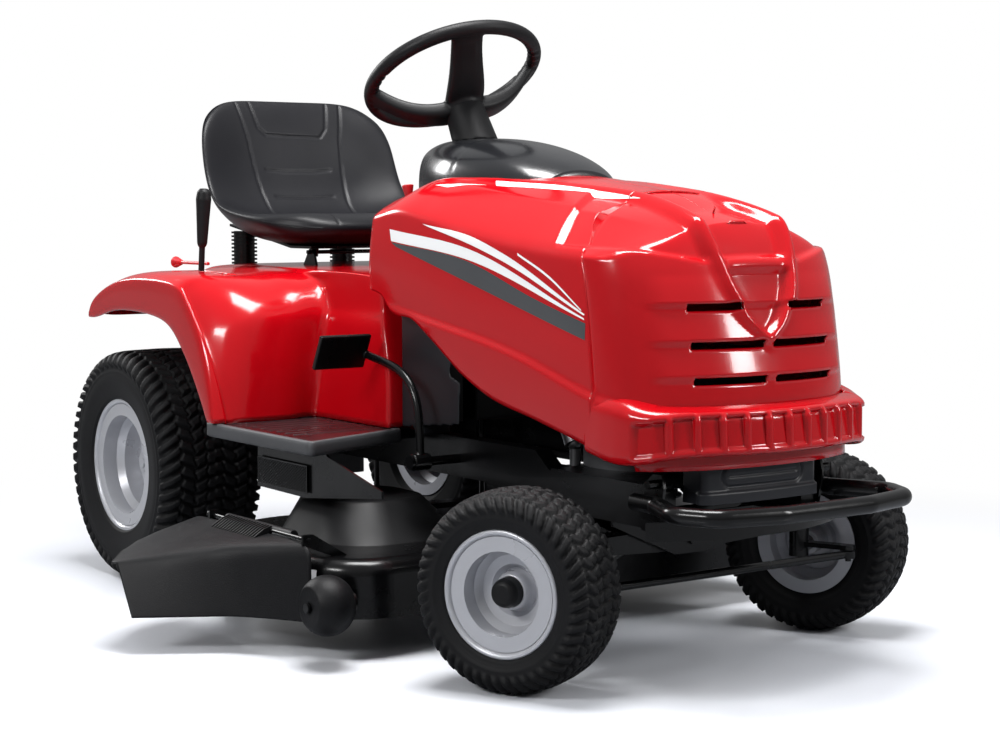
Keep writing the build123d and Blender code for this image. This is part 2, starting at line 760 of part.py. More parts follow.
guard_half = 122
guard_front = 1395
guard_rear = 1361
guard_low = 285
guard_high = 362
with BuildPart() as guard:
    with BuildSketch(ground.offset(guard_low)) as plan:
        with BuildLine():
            Line((rail_front, -guard_half), (guard_rear, -guard_half))
            ThreePointArc((guard_rear, -guard_half), (guard_front, 0), (guard_rear, guard_half))
            Line((guard_rear, guard_half), (rail_front, guard_half))
            Line((rail_front, guard_half), (rail_front, -guard_half))
        make_face()
    extrude(amount=guard_high - guard_low)
    chamfer(guard.faces().sort_by(Axis.Z)[0].edges().sort_by(Axis.X)[-1], 9)
finish(guard, "muffler_guard")

with BuildPart() as tank:
    with BuildSketch(ground.offset(tank_z)) as plan:
        with Locations((tank_x, 0)):
            RectangleRounded(170, 250, 40)
    extrude(amount=110)
    fillet(tank.edges().filter_by(Plane.XY), 14)
    rod(upright(tank_x, -70, tank_z + 110), 30, 22)
    rod(down_column(tube_start - 1), 20, 420, Mode.SUBTRACT)
finish(tank, "fuel_tank")

# ---- cutting deck -------------------------------------------------------------------------

deck_rear = 390
deck_front = 925
deck_half = 500
deck_low = 68
deck_top = 165
deck_wall = 3
deck_x = 655
spindle_half = 235
blade_reach = 255
blade_z = 84
spindle_radius = 12.5
housing_radius = 32
pulley_z = 181
timing_radius = 58
hinge_y = 506
hinge_z = 196
hinge_pin = 4
chute_rear = 500
chute_front = 850
roller_x = 915
roller_z = 100
roller_radius = 50
roller_half = 34
roller_pin_end = 6  # how far the pin stands out of the gauge wheel
roller_y = roller_reach - roller_pin_end - roller_half


def deck_block(inset):
    """The deck's outer form, or with an inset the room under it; larger corners at the rear."""
    rear, front, half = deck_rear + inset, deck_front - inset, deck_half - inset
    with BuildPart() as block:
        with BuildSketch(ground.offset(deck_low - (1 if inset else 0))) as plan:
            Polygon((rear, -half), (front, -half), (front, half), (rear, half), align=None)
            fillet(plan.vertices().group_by(Axis.X)[0], 180 - inset)
            fillet(plan.vertices().group_by(Axis.X)[-1], 110 - inset)
        extrude(amount=deck_top - inset - deck_low + (1 if inset else 0))
        fillet(block.faces().sort_by(Axis.Z)[-1].edges(), 26 - inset)
    return block.part


deck_form = deck_block(0)
deck_room = deck_block(deck_wall)
with BuildPart() as deck:
    add(deck_form)
    for _, side in sides:
        # bracket of the gauge wheel, off the front corner
        with BuildSketch(flank.offset(-side * (roller_y - roller_half - 8))):
            with Locations((roller_x, roller_z)):
                Circle(18)
            Polygon((roller_x - 90, 96), (roller_x - 6, 84), (roller_x, 117),
                    (roller_x - 90, 140), align=None)
            with Locations((roller_x, roller_z)):
                Circle(8 + running_fit, mode=Mode.SUBTRACT)
        extrude(amount=side * 5)
    add(deck_room, mode=Mode.SUBTRACT)
    slab(
        flank.offset(deck_half - 40),
        [(chute_rear, deck_low - 1), (chute_front, deck_low - 1), (chute_front, 146),
         (chute_rear, 146)], 60, mode=Mode.SUBTRACT,
    )
    for _, side in sides:
        rod(upright(deck_x, side * spindle_half, deck_top - 10), housing_radius + seat_gap, 20,
            Mode.SUBTRACT)
    for x in (chute_rear + 4, chute_front - 12):
        slab(
            across.offset(x),
            [(-deck_half + 44, deck_top - 1), (-hinge_y - 9, hinge_z - 8), (-hinge_y - 9, hinge_z + 9),
             (-hinge_y + 10, hinge_z + 9), (-deck_half + 70, deck_top - 1)], 6,
        )
        rod(Plane(place(x - 1, -hinge_y, hinge_z), (0, 1, 0), (1, 0, 0)), hinge_pin + running_fit,
            8, Mode.SUBTRACT)
finish(deck, "deck_shell")

with BuildPart() as deck_pins:
    rod(Plane(place(chute_rear - 2, -hinge_y, hinge_z), (0, 1, 0), (1, 0, 0)), hinge_pin,
        chute_front - chute_rear + 4)
    rod(Plane(place(chute_rear - 6, -hinge_y, hinge_z), (0, 1, 0), (1, 0, 0)), hinge_pin + 3, 4)
    for _, side in sides:
        start = roller_y - roller_half - 12
        rod(Plane(place(roller_x, side * start, roller_z), z_dir=(0, side, 0)), 8,
            roller_reach - start)
    for x in guide_x:
        for _, side in sides:
            rod(upright(x, side * guide_y, deck_top), 5, 160)
            rod(upright(x, side * guide_y, deck_top), 13, 6)
finish(deck_pins, "deck_pins")

for name, side in sides:
    with BuildPart() as roller:
        with BuildSketch(Plane(place(roller_x, side * roller_y, roller_z))) as half:
            with BuildLine():
                Line((8 + running_fit, -roller_half), (roller_radius - 16, -roller_half))
                ThreePointArc((roller_radius - 16, -roller_half), (roller_radius, 0),
                              (roller_radius - 16, roller_half))
                Line((roller_radius - 16, roller_half), (8 + running_fit, roller_half))
                Line((8 + running_fit, roller_half), (8 + running_fit, -roller_half))
            make_face()
        revolve(axis=Axis(place(roller_x, side * roller_y, roller_z), (0, 1, 0)))
    finish(roller, f"gauge_wheel_{name}")

with BuildPart() as housings:
    for _, side in sides:
        rod(upright(deck_x, side * spindle_half, 108), housing_radius, deck_top - 108)
        rod(upright(deck_x, side * spindle_half, deck_top), 52, 8)
        rod(upright(deck_x, side * spindle_half, 100), spindle_radius + running_fit, 90,
            Mode.SUBTRACT)
finish(housings, "spindle_housings")

for name, side in sides:
    with BuildPart() as spindle:
        rod(upright(deck_x, side * spindle_half, blade_z + 8), spindle_radius, pulley_z + 14 - blade_z)
        rod(upright(deck_x, side * spindle_half, blade_z + 8), 26, 108 - blade_z - 9)
        rod(upright(deck_x, side * spindle_half, pulley_z - 4), timing_radius + 6, 3)
        rod(upright(deck_x, side * spindle_half, pulley_z - 1), timing_radius, 11)
        rod(upright(deck_x, side * spindle_half, pulley_z + 10), timing_radius + 6, 3)
        turned = upright(deck_x, side * spindle_half, blade_z).rotated(
            (0, 0, 90 if side > 0 else 0)
        )
        slab(turned, [(-blade_reach, -26), (blade_reach - 30, -26), (blade_reach, -16),
                      (blade_reach, 26), (-blade_reach + 30, 26), (-blade_reach, 16)], 5)
        for flip in (1, -1):
            slab(
                turned.offset(5),
                [(flip * (blade_reach - 90), flip * 14), (flip * (blade_reach - 1), flip * 14),
                 (flip * (blade_reach - 1), flip * 25), (flip * (blade_reach - 90), flip * 25)], 12,
            )
        rod(turned, 8, 8)
        rod(turned.offset(-9), 12, 9)
    finish(spindle, f"blade_{name}")

with BuildPart() as timing_belt:
    with BuildSketch(ground.offset(pulley_z)):
        for margin, mode in ((belt_gap + 5, Mode.ADD), (belt_gap, Mode.SUBTRACT)):
            with Locations((deck_x, 0)):
                SlotCenterToCenter(2 * spindle_half, 2 * (timing_radius + margin), rotation=90,
                                   mode=mode)
    extrude(amount=9)
finish(timing_belt, "blade_belt")

cover_wall = 3
cover_top = 229


def cover_block(side, inset, low):
    """One belt cover's form, or with an inset the room in it: steep behind, gentle in front."""
    with BuildPart() as block:
        with BuildSketch(upright(deck_x, side * 270, low)):
            RectangleRounded(300 - 2 * inset, 270 - 2 * inset, 90 - inset)
        with BuildSketch(upright(deck_x - 30, side * 270, cover_top - inset)):
            RectangleRounded(210 - 2 * inset, 190 - 2 * inset, 80 - inset)
        loft()
        fillet(block.faces().sort_by(Axis.Z)[-1].edges(), 10 - inset)
    return block.part


with BuildPart() as covers:
    for _, side in sides:
        add(cover_block(side, 0, deck_top))
        add(cover_block(side, cover_wall, deck_top - 1), mode=Mode.SUBTRACT)
        # way in for the belt
        slab(
            flank.offset(-side * 120),
            [(deck_x - 85, deck_top + 7), (deck_x + 85, deck_top + 7),
             (deck_x + 85, pulley_z + 21), (deck_x - 85, pulley_z + 21)],
            -side * 80, mode=Mode.SUBTRACT,
        )
finish(covers, "belt_covers")

deflector_wall = 3
deflector_low = 62
flap_fall = 0.2  # fall of the flap's top per millimetre outward
flap_lean = 87  # how far the outer end of its front wall leans back, up to the hinge's height
flap_front = [(862, -hinge_y - 12), (815, -536), (742, -588), (652, -deflector_reach)]


def flap_block(shift, beyond, rear, low, drop):
    """The flap's form, or the room under it: a leaning front wall under a top that falls."""
    with BuildPart() as block:
        for height, lean in ((low, 0), (hinge_z, flap_lean)):
            span = flap_front[-1][1] - flap_front[0][1]
            line = [(x + shift[0] - lean * (y - flap_front[0][1]) / span, y + shift[1])
                    for x, y in flap_front]
            (x1, y1), (x2, y2) = line[-2:]
            share = beyond / (y1 - y2)
            line[-1] = (x2 + (x2 - x1) * share, y2 + (y2 - y1) * share)
            with BuildSketch(ground.offset(height)):
                Polygon((rear, line[0][1]), *line, (rear + 8, line[-1][1]), (rear - 42, -600),
                        align=None)
        loft(ruled=True)
        near, far = hinge_y - 60, deflector_reach + 60
        slab(
            across.offset(400),
            [(-near, hinge_z - drop - flap_fall * (near - hinge_y)), (-near, hinge_z + 40),
             (-far, hinge_z + 40), (-far, hinge_z - drop - flap_fall * (far - hinge_y))],
            500, mode=Mode.SUBTRACT,
        )
    return block.part


with BuildPart() as deflector:
    add(flap_block((0, 0), 0, chute_rear + 12, deflector_low, 0))
    add(flap_block((-2.6, 1.6), 20, chute_rear - 70, deflector_low - 1, deflector_wall),
        mode=Mode.SUBTRACT)
    sleeve = chute_rear + 4 + 6 + seat_gap
    rod(Plane(place(sleeve, -hinge_y, hinge_z), (0, 1, 0), (1, 0, 0)), 9,
        chute_front - 12 - seat_gap - sleeve)
    slab(
        across.offset(sleeve),
        [(-hinge_y, hinge_z + 9), (-hinge_y, hinge_z + 4), (-hinge_y - 30, hinge_z - 10),
         (-hinge_y - 30, hinge_z - 7)], chute_front - 12 - seat_gap - sleeve,
    )
    rod(Plane(place(sleeve - 1, -hinge_y, hinge_z), (0, 1, 0), (1, 0, 0)),
        hinge_pin + running_fit, 400, Mode.SUBTRACT)
finish(deflector, "deflector")

# ---- rear body and running boards ---------------------------------------------------------

body_wall = 4
tunnel_half = 200
fender_half = 450
fender_lip = 517  # lower edge of the fender over the tyre
board_edge = 25
board_rear = 353
board_front = 742
lever_slot = (lever_x - 2, lever_x + 118)  # the height lever's travel in the fender's top
tunnel_top = [(-150, 600), (-118, 618), (0, 627), (316, 622), (572, 619)]
fender_top = [(-150, fender_lip), (-140, 556), (-78, 591), (0, 616), (300, 620)]


def body_block(inset, low):
    """Tunnel and both fenders as one closed form; the inset copy is the room inside them."""
    rear, front = -150 + inset, 650 - inset
    tunnel = [(max(x, rear), z - inset) for x, z in tunnel_top]
    tunnel += [(584 - inset, 606 - inset), (592 - inset, 560 - inset), (front, 545 - inset)]
    tunnel += [(front, low), (rear, low)]
    fender = [(max(x, rear), z - inset) for x, z in fender_top]
    fender += [(345 - inset, 585), (362 - inset, 460), (356 - inset, low)]
    if inset:
        fender += [(310, low), (284, 404), (230, 474), (182, fender_lip - 30),
                   (rear, fender_lip - 30)]
    else:
        fender += [(322, low), (292, 410), (238, 482), (186, fender_lip), (rear, fender_lip)]
    start = tunnel_half + (inset if inset else -1)
    with BuildPart() as block:
        slab(flank, tunnel, tunnel_half - inset, both=True)
        for _, side in sides:
            slab(flank.offset(-side * start), fender, -side * (fender_half - inset - start))
        fillet(
            block.edges().filter_by(
                lambda e: abs(abs(e.center().Y - mid_y) - (fender_half - inset)) < 0.5
                and e.center().Z > fender_lip + 20
                and e.center().X - axle_x < 340
            ),
            28 - inset,
        )
    return block.part


def feet(stations, height):
    """Feet that carry a body panel on the tops of the rails."""
    for x in stations:
        for _, side in sides:
            slab(
                ground.offset(rail_top),
                [(x, side * (rail_half - 25)), (x + 30, side * (rail_half - 25)),
                 (x + 30, side * (tunnel_half - 1)), (x, side * (tunnel_half - 1))], height,
            )


release_y = -322
release_z = 631
release_radius = 3.5
with BuildPart() as body:
    add(body_block(0, board_top + 1))
    add(body_block(body_wall, board_top), mode=Mode.SUBTRACT)
    slab(
        ground.offset(590),
        [(lever_slot[0], lever_y - 9), (lever_slot[1], lever_y - 9),
         (lever_slot[1], lever_y + 9), (lever_slot[0], lever_y + 9)],
        60, mode=Mode.SUBTRACT,
    )
    rod(crosswise(lever_x, lever_pivot_z, -tunnel_half - 1), lever_pin + seat_gap, 12,
        Mode.SUBTRACT)
    feet((-120, 250, 560), 12)
    # guide of the release rod
    slab(
        across.offset(92),
        [(release_y - 8, 606), (release_y + 8, 606), (release_y + 5, release_z + 8),
         (release_y - 5, release_z + 8)], 6,
    )
    rod(Plane(place(90, release_y, release_z), z_dir=(1, 0, 0)), release_radius + running_fit, 10,
        Mode.SUBTRACT)
finish(body, "rear_body")

with BuildPart() as boards:
    for _, side in sides:
        outline = [
            (board_rear, side * board_half), (board_front, side * board_half),
            (652, side * (tunnel_half + 1)), (board_rear, side * (tunnel_half + 1)),
        ]
        for inset, mode in ((0, Mode.ADD), (board_wall, Mode.SUBTRACT)):
            with BuildSketch(ground.offset(board_top - board_edge)) as plan:
                Polygon(*outline, align=None)
                fillet(plan.vertices().group_by(Axis.X)[-1], 24)
                if inset:
                    offset(amount=-inset)
            extrude(amount=board_edge - inset, mode=mode)
        for x in support_x:
            # notches in the inner skirt for the supports
            slab(
                ground.offset(board_top - board_edge - 1),
                [(x, side * (tunnel_half - 4)), (x + support_width, side * (tunnel_half - 4)),
                 (x + support_width, side * (tunnel_half + 10)), (x, side * (tunnel_half + 10))],
                board_edge - board_wall + 1, mode=Mode.SUBTRACT,
            )
        for count in range(9):
            x = board_rear + 30 + 30 * count
            slab(
                ground.offset(board_top),
                [(x, side * (board_half - 30)), (x + 8, side * (board_half - 30)),
                 (x + 8, side * (tunnel_half + 30)), (x, side * (tunnel_half + 30))], 2,
            )
finish(boards, "running_boards")

guard_window = (486, 650, 246, 290)  # rear, front, low and high edge of the mesh
mesh_pitch = 20
with BuildPart() as side_guards:
    for _, side in sides:
        with BuildSketch(flank.offset(-side * 398)):
            Polygon((476, board_top - board_wall), (472, 236), (650, 234), (900, 262), (900, 274),
                    (724, 314), (690, board_top - board_wall), align=None)
            columns = int((guard_window[1] - guard_window[0]) / mesh_pitch)
            rows = int((guard_window[3] - guard_window[2]) / (mesh_pitch / 2))
            for row in range(rows):
                for column in range(columns):
                    x = guard_window[0] + mesh_pitch * (column + 0.5 + 0.5 * (row % 2))
                    z = guard_window[2] + mesh_pitch / 2 * (row + 0.5)
                    with Locations((x, z)):
                        Polygon((-7.6, 0), (0, -3.8), (7.6, 0), (0, 3.8), align=None,
                                mode=Mode.SUBTRACT)
        extrude(amount=side * 4)
finish(side_guards, "side_guards")

# ---- console and dash ---------------------------------------------------------------------

console_top = 725
console_wall = 4
throttle_x = 588
throttle_y = -140
throttle_z = 742
throttle_pin = 3


def console_form(half, rear, wall_top, low, front):
    """Side outline of the console between two distances from the centreline."""
    slab(
        flank,
        [(600 + rear, wall_top), (586 + rear, 640), (600 + rear, 566 + rear), (651 + rear, 546 + rear),
         (651 + rear, low), front[0], front[1], front[2], (830 + 2 * rear, wall_top)],
        half, both=True, mode=Mode.SUBTRACT if rear else Mode.ADD,
    )


with BuildPart() as console:
    console_form(tunnel_half, 0, console_top, 346, ((836, 366), (839, 440), (808, 451)))
    chamfer(console.edges().filter_by(Axis.Y).group_by(Axis.Z)[-1].sort_by(Axis.X)[0], 12)
    chamfer(
        console.faces().sort_by(Axis.Z)[-1].edges().filter_by(Axis.X), 60, 34,
    )
    beyond = ((900, 300), (900, 440), (900, 451))
    console_form(tunnel_half - 60, console_wall, console_top - console_wall, 300, beyond)
    console_form(tunnel_half - console_wall, console_wall, console_top - 66, 300, beyond)
    rod(down_column(tube_start - 1), 16, 420, Mode.SUBTRACT)
    feet((690,), 24)
    # ear and pin of the throttle lever
    slab(
        flank.offset(-throttle_y + 3),
        [(throttle_x - 8, throttle_z + 8), (throttle_x + 8, throttle_z + 8),
         (throttle_x + 30, console_top - 2), (throttle_x + 26, console_top - 40),
         (throttle_x + 4, console_top - 40)], 3,
    )
    rod(crosswise(throttle_x, throttle_z, throttle_y - 4), throttle_pin, 12)
finish(console, "console")

with BuildPart() as throttle:
    rod(crosswise(throttle_x, throttle_z, throttle_y - 3 + seat_gap), 7, 8)
    rod(Plane(place(throttle_x, throttle_y + 1, throttle_z), z_dir=(-0.2, 0, 1)), 3, 26)
    with BuildSketch(Plane(place(throttle_x - 4, throttle_y + 1, throttle_z + 20),
                           z_dir=(-0.2, 0, 1))):
        Circle(7)
    extrude(amount=20, taper=-12)
    rod(crosswise(throttle_x, throttle_z, throttle_y - 5), throttle_pin + running_fit, 14,
        Mode.SUBTRACT)
finish(throttle, "throttle_lever")

dome_rear = 425
dome_front = 926
dome_z = 785
dome_half = 130
dome_height = 82
dome_stations = ((0.0, 0.30), (0.08, 0.72), (0.26, 0.96), (0.50, 1.0), (0.84, 0.72), (1.0, 0.30))


def dome_form(inset, low):
    """Smooth pod: ellipses along the machine, swelling towards the column, cut off level."""
    with BuildPart() as form:
        for run, swell in dome_stations:
            x = dome_rear + inset + run * (dome_front - dome_rear - 2 * inset)
            with BuildSketch(across.offset(x)):
                with Locations((0, dome_z)):
                    Ellipse(dome_half * swell - inset, dome_height * swell - inset)
        loft()
        slab(
            ground.offset(low - 200),
            [(dome_rear - 50, -200), (dome_front + 50, -200), (dome_front + 50, 200),
             (dome_rear - 50, 200)], 200, mode=Mode.SUBTRACT,
        )
    return form.part


with BuildPart() as dome:
    add(dome_form(0, console_top))
    add(dome_form(3, console_top - 1), mode=Mode.SUBTRACT)
    rod(down_column(tube_start - 20), 17, 420, Mode.SUBTRACT)
finish(dome, "dash_dome")

with BuildPart() as column_cover:
    with BuildSketch(down_column(cover_start)):
        Circle(37)
    with BuildSketch(down_column(cover_end)):
        Circle(43)
    loft()
    rod(down_column(cover_start - 1), 16 + seat_gap, 120, Mode.SUBTRACT)
    add(dome_form(0, console_top), mode=Mode.SUBTRACT)
finish(column_cover, "column_cover")

# ---- hood ---------------------------------------------------------------------------------

hood_wall = 4
hood_pivot = (1335, 318)
hood_pin = 7
# x, then height of the crown, half width and height of the ridge, half width and height of the
# shoulder, and half width of the side
hood_stations = [
    (612, 786, 160, 760, 228, 726, 232),
    (690, 806, 160, 784, 229, 737, 234),
    (770, 806, 160, 782, 230, 726, 235),
    (906, 797, 159, 768, 231, 702, 236),
    (1069, 778, 158, 748, 232, 681, 238),
    (1194, 760, 150, 735, 233, 672, 240),
    (1290, 740, 135, 715, 228, 665, 241),
    (1400, 706, 118, 684, 218, 640, 242),
    (1470, 680, 108, 660, 212, 622, 242),
]
hood_edge = [(600, 594), (646, 579), (660, 566), (753, 545), (807, 517), (914, 457), (972, 434),
             (1128, 401), (1233, 379), (1310, 361), (1363, 344), (1399, 342), (1500, 342)]
nose_levels = ((300, 1413), (345, 1410), (475, 1404), (531, 1396), (589, 1386), (647, 1372),
               (700, 1348), (748, 1317), (800, 1284))
nose_cheek = 90  # the cheeks lie this far behind the middle of the nose
seam = [(1160, 800), (1178, 747), (1278, 441), (1312, 336)]
slot_rows = ((589, 45), (531, 10), (477, 10))  # height and half width of the bar in the middle
slot_reach = 141
slot_half = 5.5


def hood_form(inset):
    """The hood's skin line from the dash to beyond the nose, as one closed form."""
    with BuildPart() as form:
        for x, crown, ridge_half, ridge, shoulder_half, shoulder, side_half in hood_stations:
            points = [
                (side_half - inset, 290), (side_half - inset, shoulder - 44),
                (shoulder_half - inset, shoulder - inset / 2),
                (ridge_half - inset / 2, ridge - inset), (ridge_half * 0.5, (crown + ridge) / 2 - inset + 7),
            ]
            mirror_points = [(-y, z) for y, z in reversed(points)]
            with BuildSketch(across.offset(x)):
                Polygon(*points, (0, crown - inset), *mirror_points, align=None)
        loft(ruled=True)
    return form.part


def nose_form(inset):
    """The rounded front: bowed plan outlines stacked over each other."""
    half = 246
    with BuildPart() as form:
        for z, front in nose_levels:
            with BuildSketch(ground.offset(z)):
                with BuildLine():
                    cheek = front - nose_cheek
                    a = ThreePointArc((cheek, -238), (front - inset, 0), (cheek, 238))
                    Line(a @ 1, (cheek - 30, half))
                    Line((cheek - 30, half), (1100, half))
                    Line((1100, half), (1100, -half))
                    Line((1100, -half), (cheek - 30, -half))
                    Line((cheek - 30, -half), a @ 0)
                make_face()
        loft()
    return form.part


outer_hood = hood_form(0)
inner_hood = hood_form(hood_wall)
behind_seam = [(500, 250)] + [(x, z) for x, z in reversed(seam[:-1])] + [(1160, 900), (500, 900)]
with BuildPart() as hood:
    add(outer_hood)
    add(inner_hood, mode=Mode.SUBTRACT)
    slab(flank, [(x, z) for x, z in hood_edge] + [(1500, 200), (600, 200)], 300, both=True,
         mode=Mode.SUBTRACT)
    slab(flank, seam + [(1312, 200), (1600, 200), (1600, 900), (1160, 900)], 300, both=True,
         mode=Mode.SUBTRACT)
    # the opening that clears the dash pod
    with BuildSketch(ground.offset(700)):
        Polygon((560, -142), (800, -142), (800, 142), (560, 142), align=None)
        with Locations((800, 0)):
            Circle(142)
    extrude(amount=200, mode=Mode.SUBTRACT)
finish(hood, "hood_shell")

lip_front = 1450
lip_cheek = 1375
lip_low = 352
lip_high = 420


def lip_form(inset, low, high):
    """The bumper lip under the nose: a bowed block."""
    with BuildPart() as form:
        with BuildSketch(ground.offset(low)):
            with BuildLine():
                a = ThreePointArc((lip_cheek, -239 + inset), (lip_front - inset, 0),
                                  (lip_cheek, 239 - inset))
                Line(a @ 1, (1330, 239 - inset))
                Line((1330, 239 - inset), (1330, -239 + inset))
                Line((1330, -239 + inset), a @ 0)
            make_face()
        extrude(amount=high - low)
    return form.part


with BuildPart() as nose:
    add(nose_form(0))
    add(outer_hood, mode=Mode.INTERSECT)
    slab(flank, [(x, z) for x, z in hood_edge] + [(1500, 200), (600, 200)], 300, both=True,
         mode=Mode.SUBTRACT)
    slab(flank, seam + [(1312, 200), (900, 200), (900, 900), (1160, 900)], 300, both=True,
         mode=Mode.SUBTRACT)
    add(lip_form(3, lip_low, lip_high))
    with BuildPart(mode=Mode.PRIVATE) as ribs:
        add(lip_form(0, lip_low, lip_high - 3))
        with BuildPart(mode=Mode.INTERSECT):
            for count in range(11):
                with BuildSketch(ground.offset(lip_low)):
                    with Locations((1400, 40 * (count - 5))):
                        Rectangle(140, 7)
                extrude(amount=lip_high - lip_low)
    add(ribs.part)
    with BuildPart(mode=Mode.PRIVATE) as nose_room:
        add(nose_form(hood_wall))
        add(inner_hood, mode=Mode.INTERSECT)
    add(nose_room.part, mode=Mode.SUBTRACT)
    add(lip_form(3 + hood_wall, lip_low - 20, lip_high - 4), mode=Mode.SUBTRACT)
    for z, bar_half in slot_rows:
        for _, side in sides:
            slab(
                ground.offset(z - slot_half),
                [(1300, side * bar_half), (1500, side * bar_half), (1500, side * slot_reach),
                 (1300, side * slot_reach)], 2 * slot_half, mode=Mode.SUBTRACT,
            )
    # hinge arms, outside the mounting plates of the bumper
    for _, side in sides:
        start = rail_half + 5 + seat_gap
        slab(
            flank.offset(-side * (start + 2)),
            [(hood_pivot[0] - 11, hood_pivot[1]), (hood_pivot[0] + 11, hood_pivot[1]),
             (1362, 400), (1360, 470), (1340, 430)], -side * 4,
        )
        rod(crosswise(*hood_pivot, side * (start + 5) - 5), 13, 10)
        rod(crosswise(*hood_pivot, side * (start + 5) - 8), hood_pin + running_fit, 16,
            Mode.SUBTRACT)
finish(nose, "hood_nose")

# ---- bumper -------------------------------------------------------------------------------

bumper_tube = 14
bumper_z = 287
with BuildPart() as bumper:
    beside_rail = rail_half + 4 + bumper_tube
    path = [(1296, -beside_rail), (1350, -beside_rail), (1440, -226), (1504, -196),
            (bumper_front - bumper_tube, -90)]
    path += [(x, -y) for x, y in reversed(path)]
    with BuildLine(ground.offset(bumper_z)) as course:
        FilletPolyline(*path, radius=38)
    with BuildSketch(Plane(place(*path[0], bumper_z), z_dir=(1, 0, 0))):
        Circle(bumper_tube)
    sweep(path=course.line)
    for _, side in sides:
        slab(
            flank.offset(-side * rail_half),
            [(1290, 262), (1340, 262), (1350, 312), (1344, 332), (1324, 332), (1290, 306)],
            -side * 5,
        )
        rod(crosswise(*hood_pivot, side * 178 - 12), hood_pin, 24)
    # apron and its slotted bracket under the muffler guard
    for radius_in, mode in ((0, Mode.ADD), (3, Mode.SUBTRACT)):
        with BuildSketch(ground.offset(232 - radius_in)):
            with BuildLine():
                a = ThreePointArc((1345, -202 + radius_in), (1403 - radius_in, 0),
                                  (1345, 202 - radius_in))
                Line(a @ 1, a @ 0)
            make_face()
        extrude(amount=30 + 2 * radius_in, mode=mode)
    slab(
        ground.offset(nose_rail_bottom - 4),
        [(1290, -rail_half), (rail_front, -rail_half), (1398, -60), (1398, 60),
         (rail_front, rail_half), (1290, rail_half)], 4,
    )
finish(bumper, "bumper")

# ---- seat ---------------------------------------------------------------------------------

seat_half = 235
seat_hinge = (200, 652)
seat_pin = 4
seat_side = [(200, 664), (280, 664), (296, 676), (308, 704), (272, 722), (60, 702), (0, 716),
             (-45, 790), (-75, 940), (-95, 975), (-130, 975), (-150, 940), (-125, 780),
             (-118, 706), (144, 664)]
with BuildPart() as seat:
    # the rolled edge of the cushion, in three steps
    for reach, inset in ((seat_half - 14, 0), (seat_half - 5, 5), (seat_half, 12)):
        with BuildSketch(flank):
            Polygon(*seat_side, align=None)
            if inset:
                offset(amount=-inset)
        extrude(amount=reach, both=True)
finish(seat, "seat")

with BuildPart() as seat_frame:
    slab(flank, [(-118, 706), (144, 664), (226, 664), (226, 659), (144, 659), (-118, 701)], 140, both=True)
    for _, side in sides:
        slab(
            flank.offset(-side * 120),
            [(seat_hinge[0] - 14, 662), (seat_hinge[0] - 10, 643), (seat_hinge[0] + 10, 643),
             (seat_hinge[0] + 14, 662)], side * 5,
        )
    rod(crosswise(*seat_hinge, -130), seat_pin + running_fit, 260, Mode.SUBTRACT)
finish(seat_frame, "seat_frame")

spring_x = -91
with BuildPart() as seat_mounts:
    for _, side in sides:
        slab(
            flank.offset(-side * (120 + 5 + seat_gap)),
            [(seat_hinge[0] - 34, 622), (seat_hinge[0] - 8, 658), (seat_hinge[0] + 3, 658),
             (seat_hinge[0] + 9, 653), (seat_hinge[0] + 20, 622)], side * 5,
        )
        rod(upright(spring_x, side * 120, 617), 22, 74)
        for count in range(9):
            rod(upright(spring_x, side * 120, 622 + 8 * count), 27, 4)
    rod(crosswise(*seat_hinge, -134), seat_pin, 268)
    add(body_block(0, board_top + 1), mode=Mode.SUBTRACT)
finish(seat_mounts, "seat_mounts")

# ---- pedal and levers ---------------------------------------------------------------------

with BuildPart() as pedal:
    arm = [(597, 478), (711, 457), (782, 403), (pedal_x, pedal_pivot_z + 4)]
    with BuildLine(flank.offset(-pedal_y)) as course:
        FilletPolyline(*arm, radius=16)
    with BuildSketch(Plane(place(arm[0][0], pedal_y, arm[0][1]), z_dir=(114, 0, -21))):
        Circle(7.5)
    sweep(path=course.line)
    rod(crosswise(pedal_x, pedal_pivot_z, pedal_y - 17.5), 15, 35)
    rod(crosswise(pedal_x, pedal_pivot_z, pedal_y - 20), pedal_pin + running_fit, 40,
        Mode.SUBTRACT)
    slab(
        flank.offset(-pedal_y),
        [(588, 456), (596, 452), (626, 512), (618, 516)], 105,
    )
finish(pedal, "drive_pedal")

lever_lean = 5.8  # degrees ahead of upright, with the deck raised
lean = Vector(sin(radians(lever_lean)), 0, cos(radians(lever_lean)))
with BuildPart() as lift_lever:
    rod(crosswise(lever_x, lever_pivot_z, lever_y - 8), 15, 16)
    rod(Plane(place(lever_x, lever_y, lever_pivot_z), z_dir=lean), 6, 200)
    rod(crosswise(lever_x, lever_pivot_z, lever_y - 10), lever_pin + running_fit, 20,
        Mode.SUBTRACT)
    grip = Plane(place(lever_x, lever_y, lever_pivot_z) + lean * 181, z_dir=lean)
    for run, radius in ((0, 8), (6, 10), (60, 13), (92, 15), (106, 13), (112, 8)):
        with BuildSketch(grip.offset(run)):
            Circle(radius)
    loft(ruled=True)
finish(lift_lever, "height_lever")

with BuildPart() as release:
    rod(Plane(place(20, release_y, release_z), z_dir=(1, 0, 0)), release_radius, 120)
    with BuildSketch(Plane(place(22, release_y, release_z), z_dir=(-1, 0, 0))):
        Circle(5)
    extrude(amount=28, taper=-14)
finish(release, "release_knob")
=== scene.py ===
import json
from math import cos, sin, pi, radians
import bmesh
import bpy
import numpy as np
from mathutils import Matrix, Vector
from mathutils.bvhtree import BVHTree


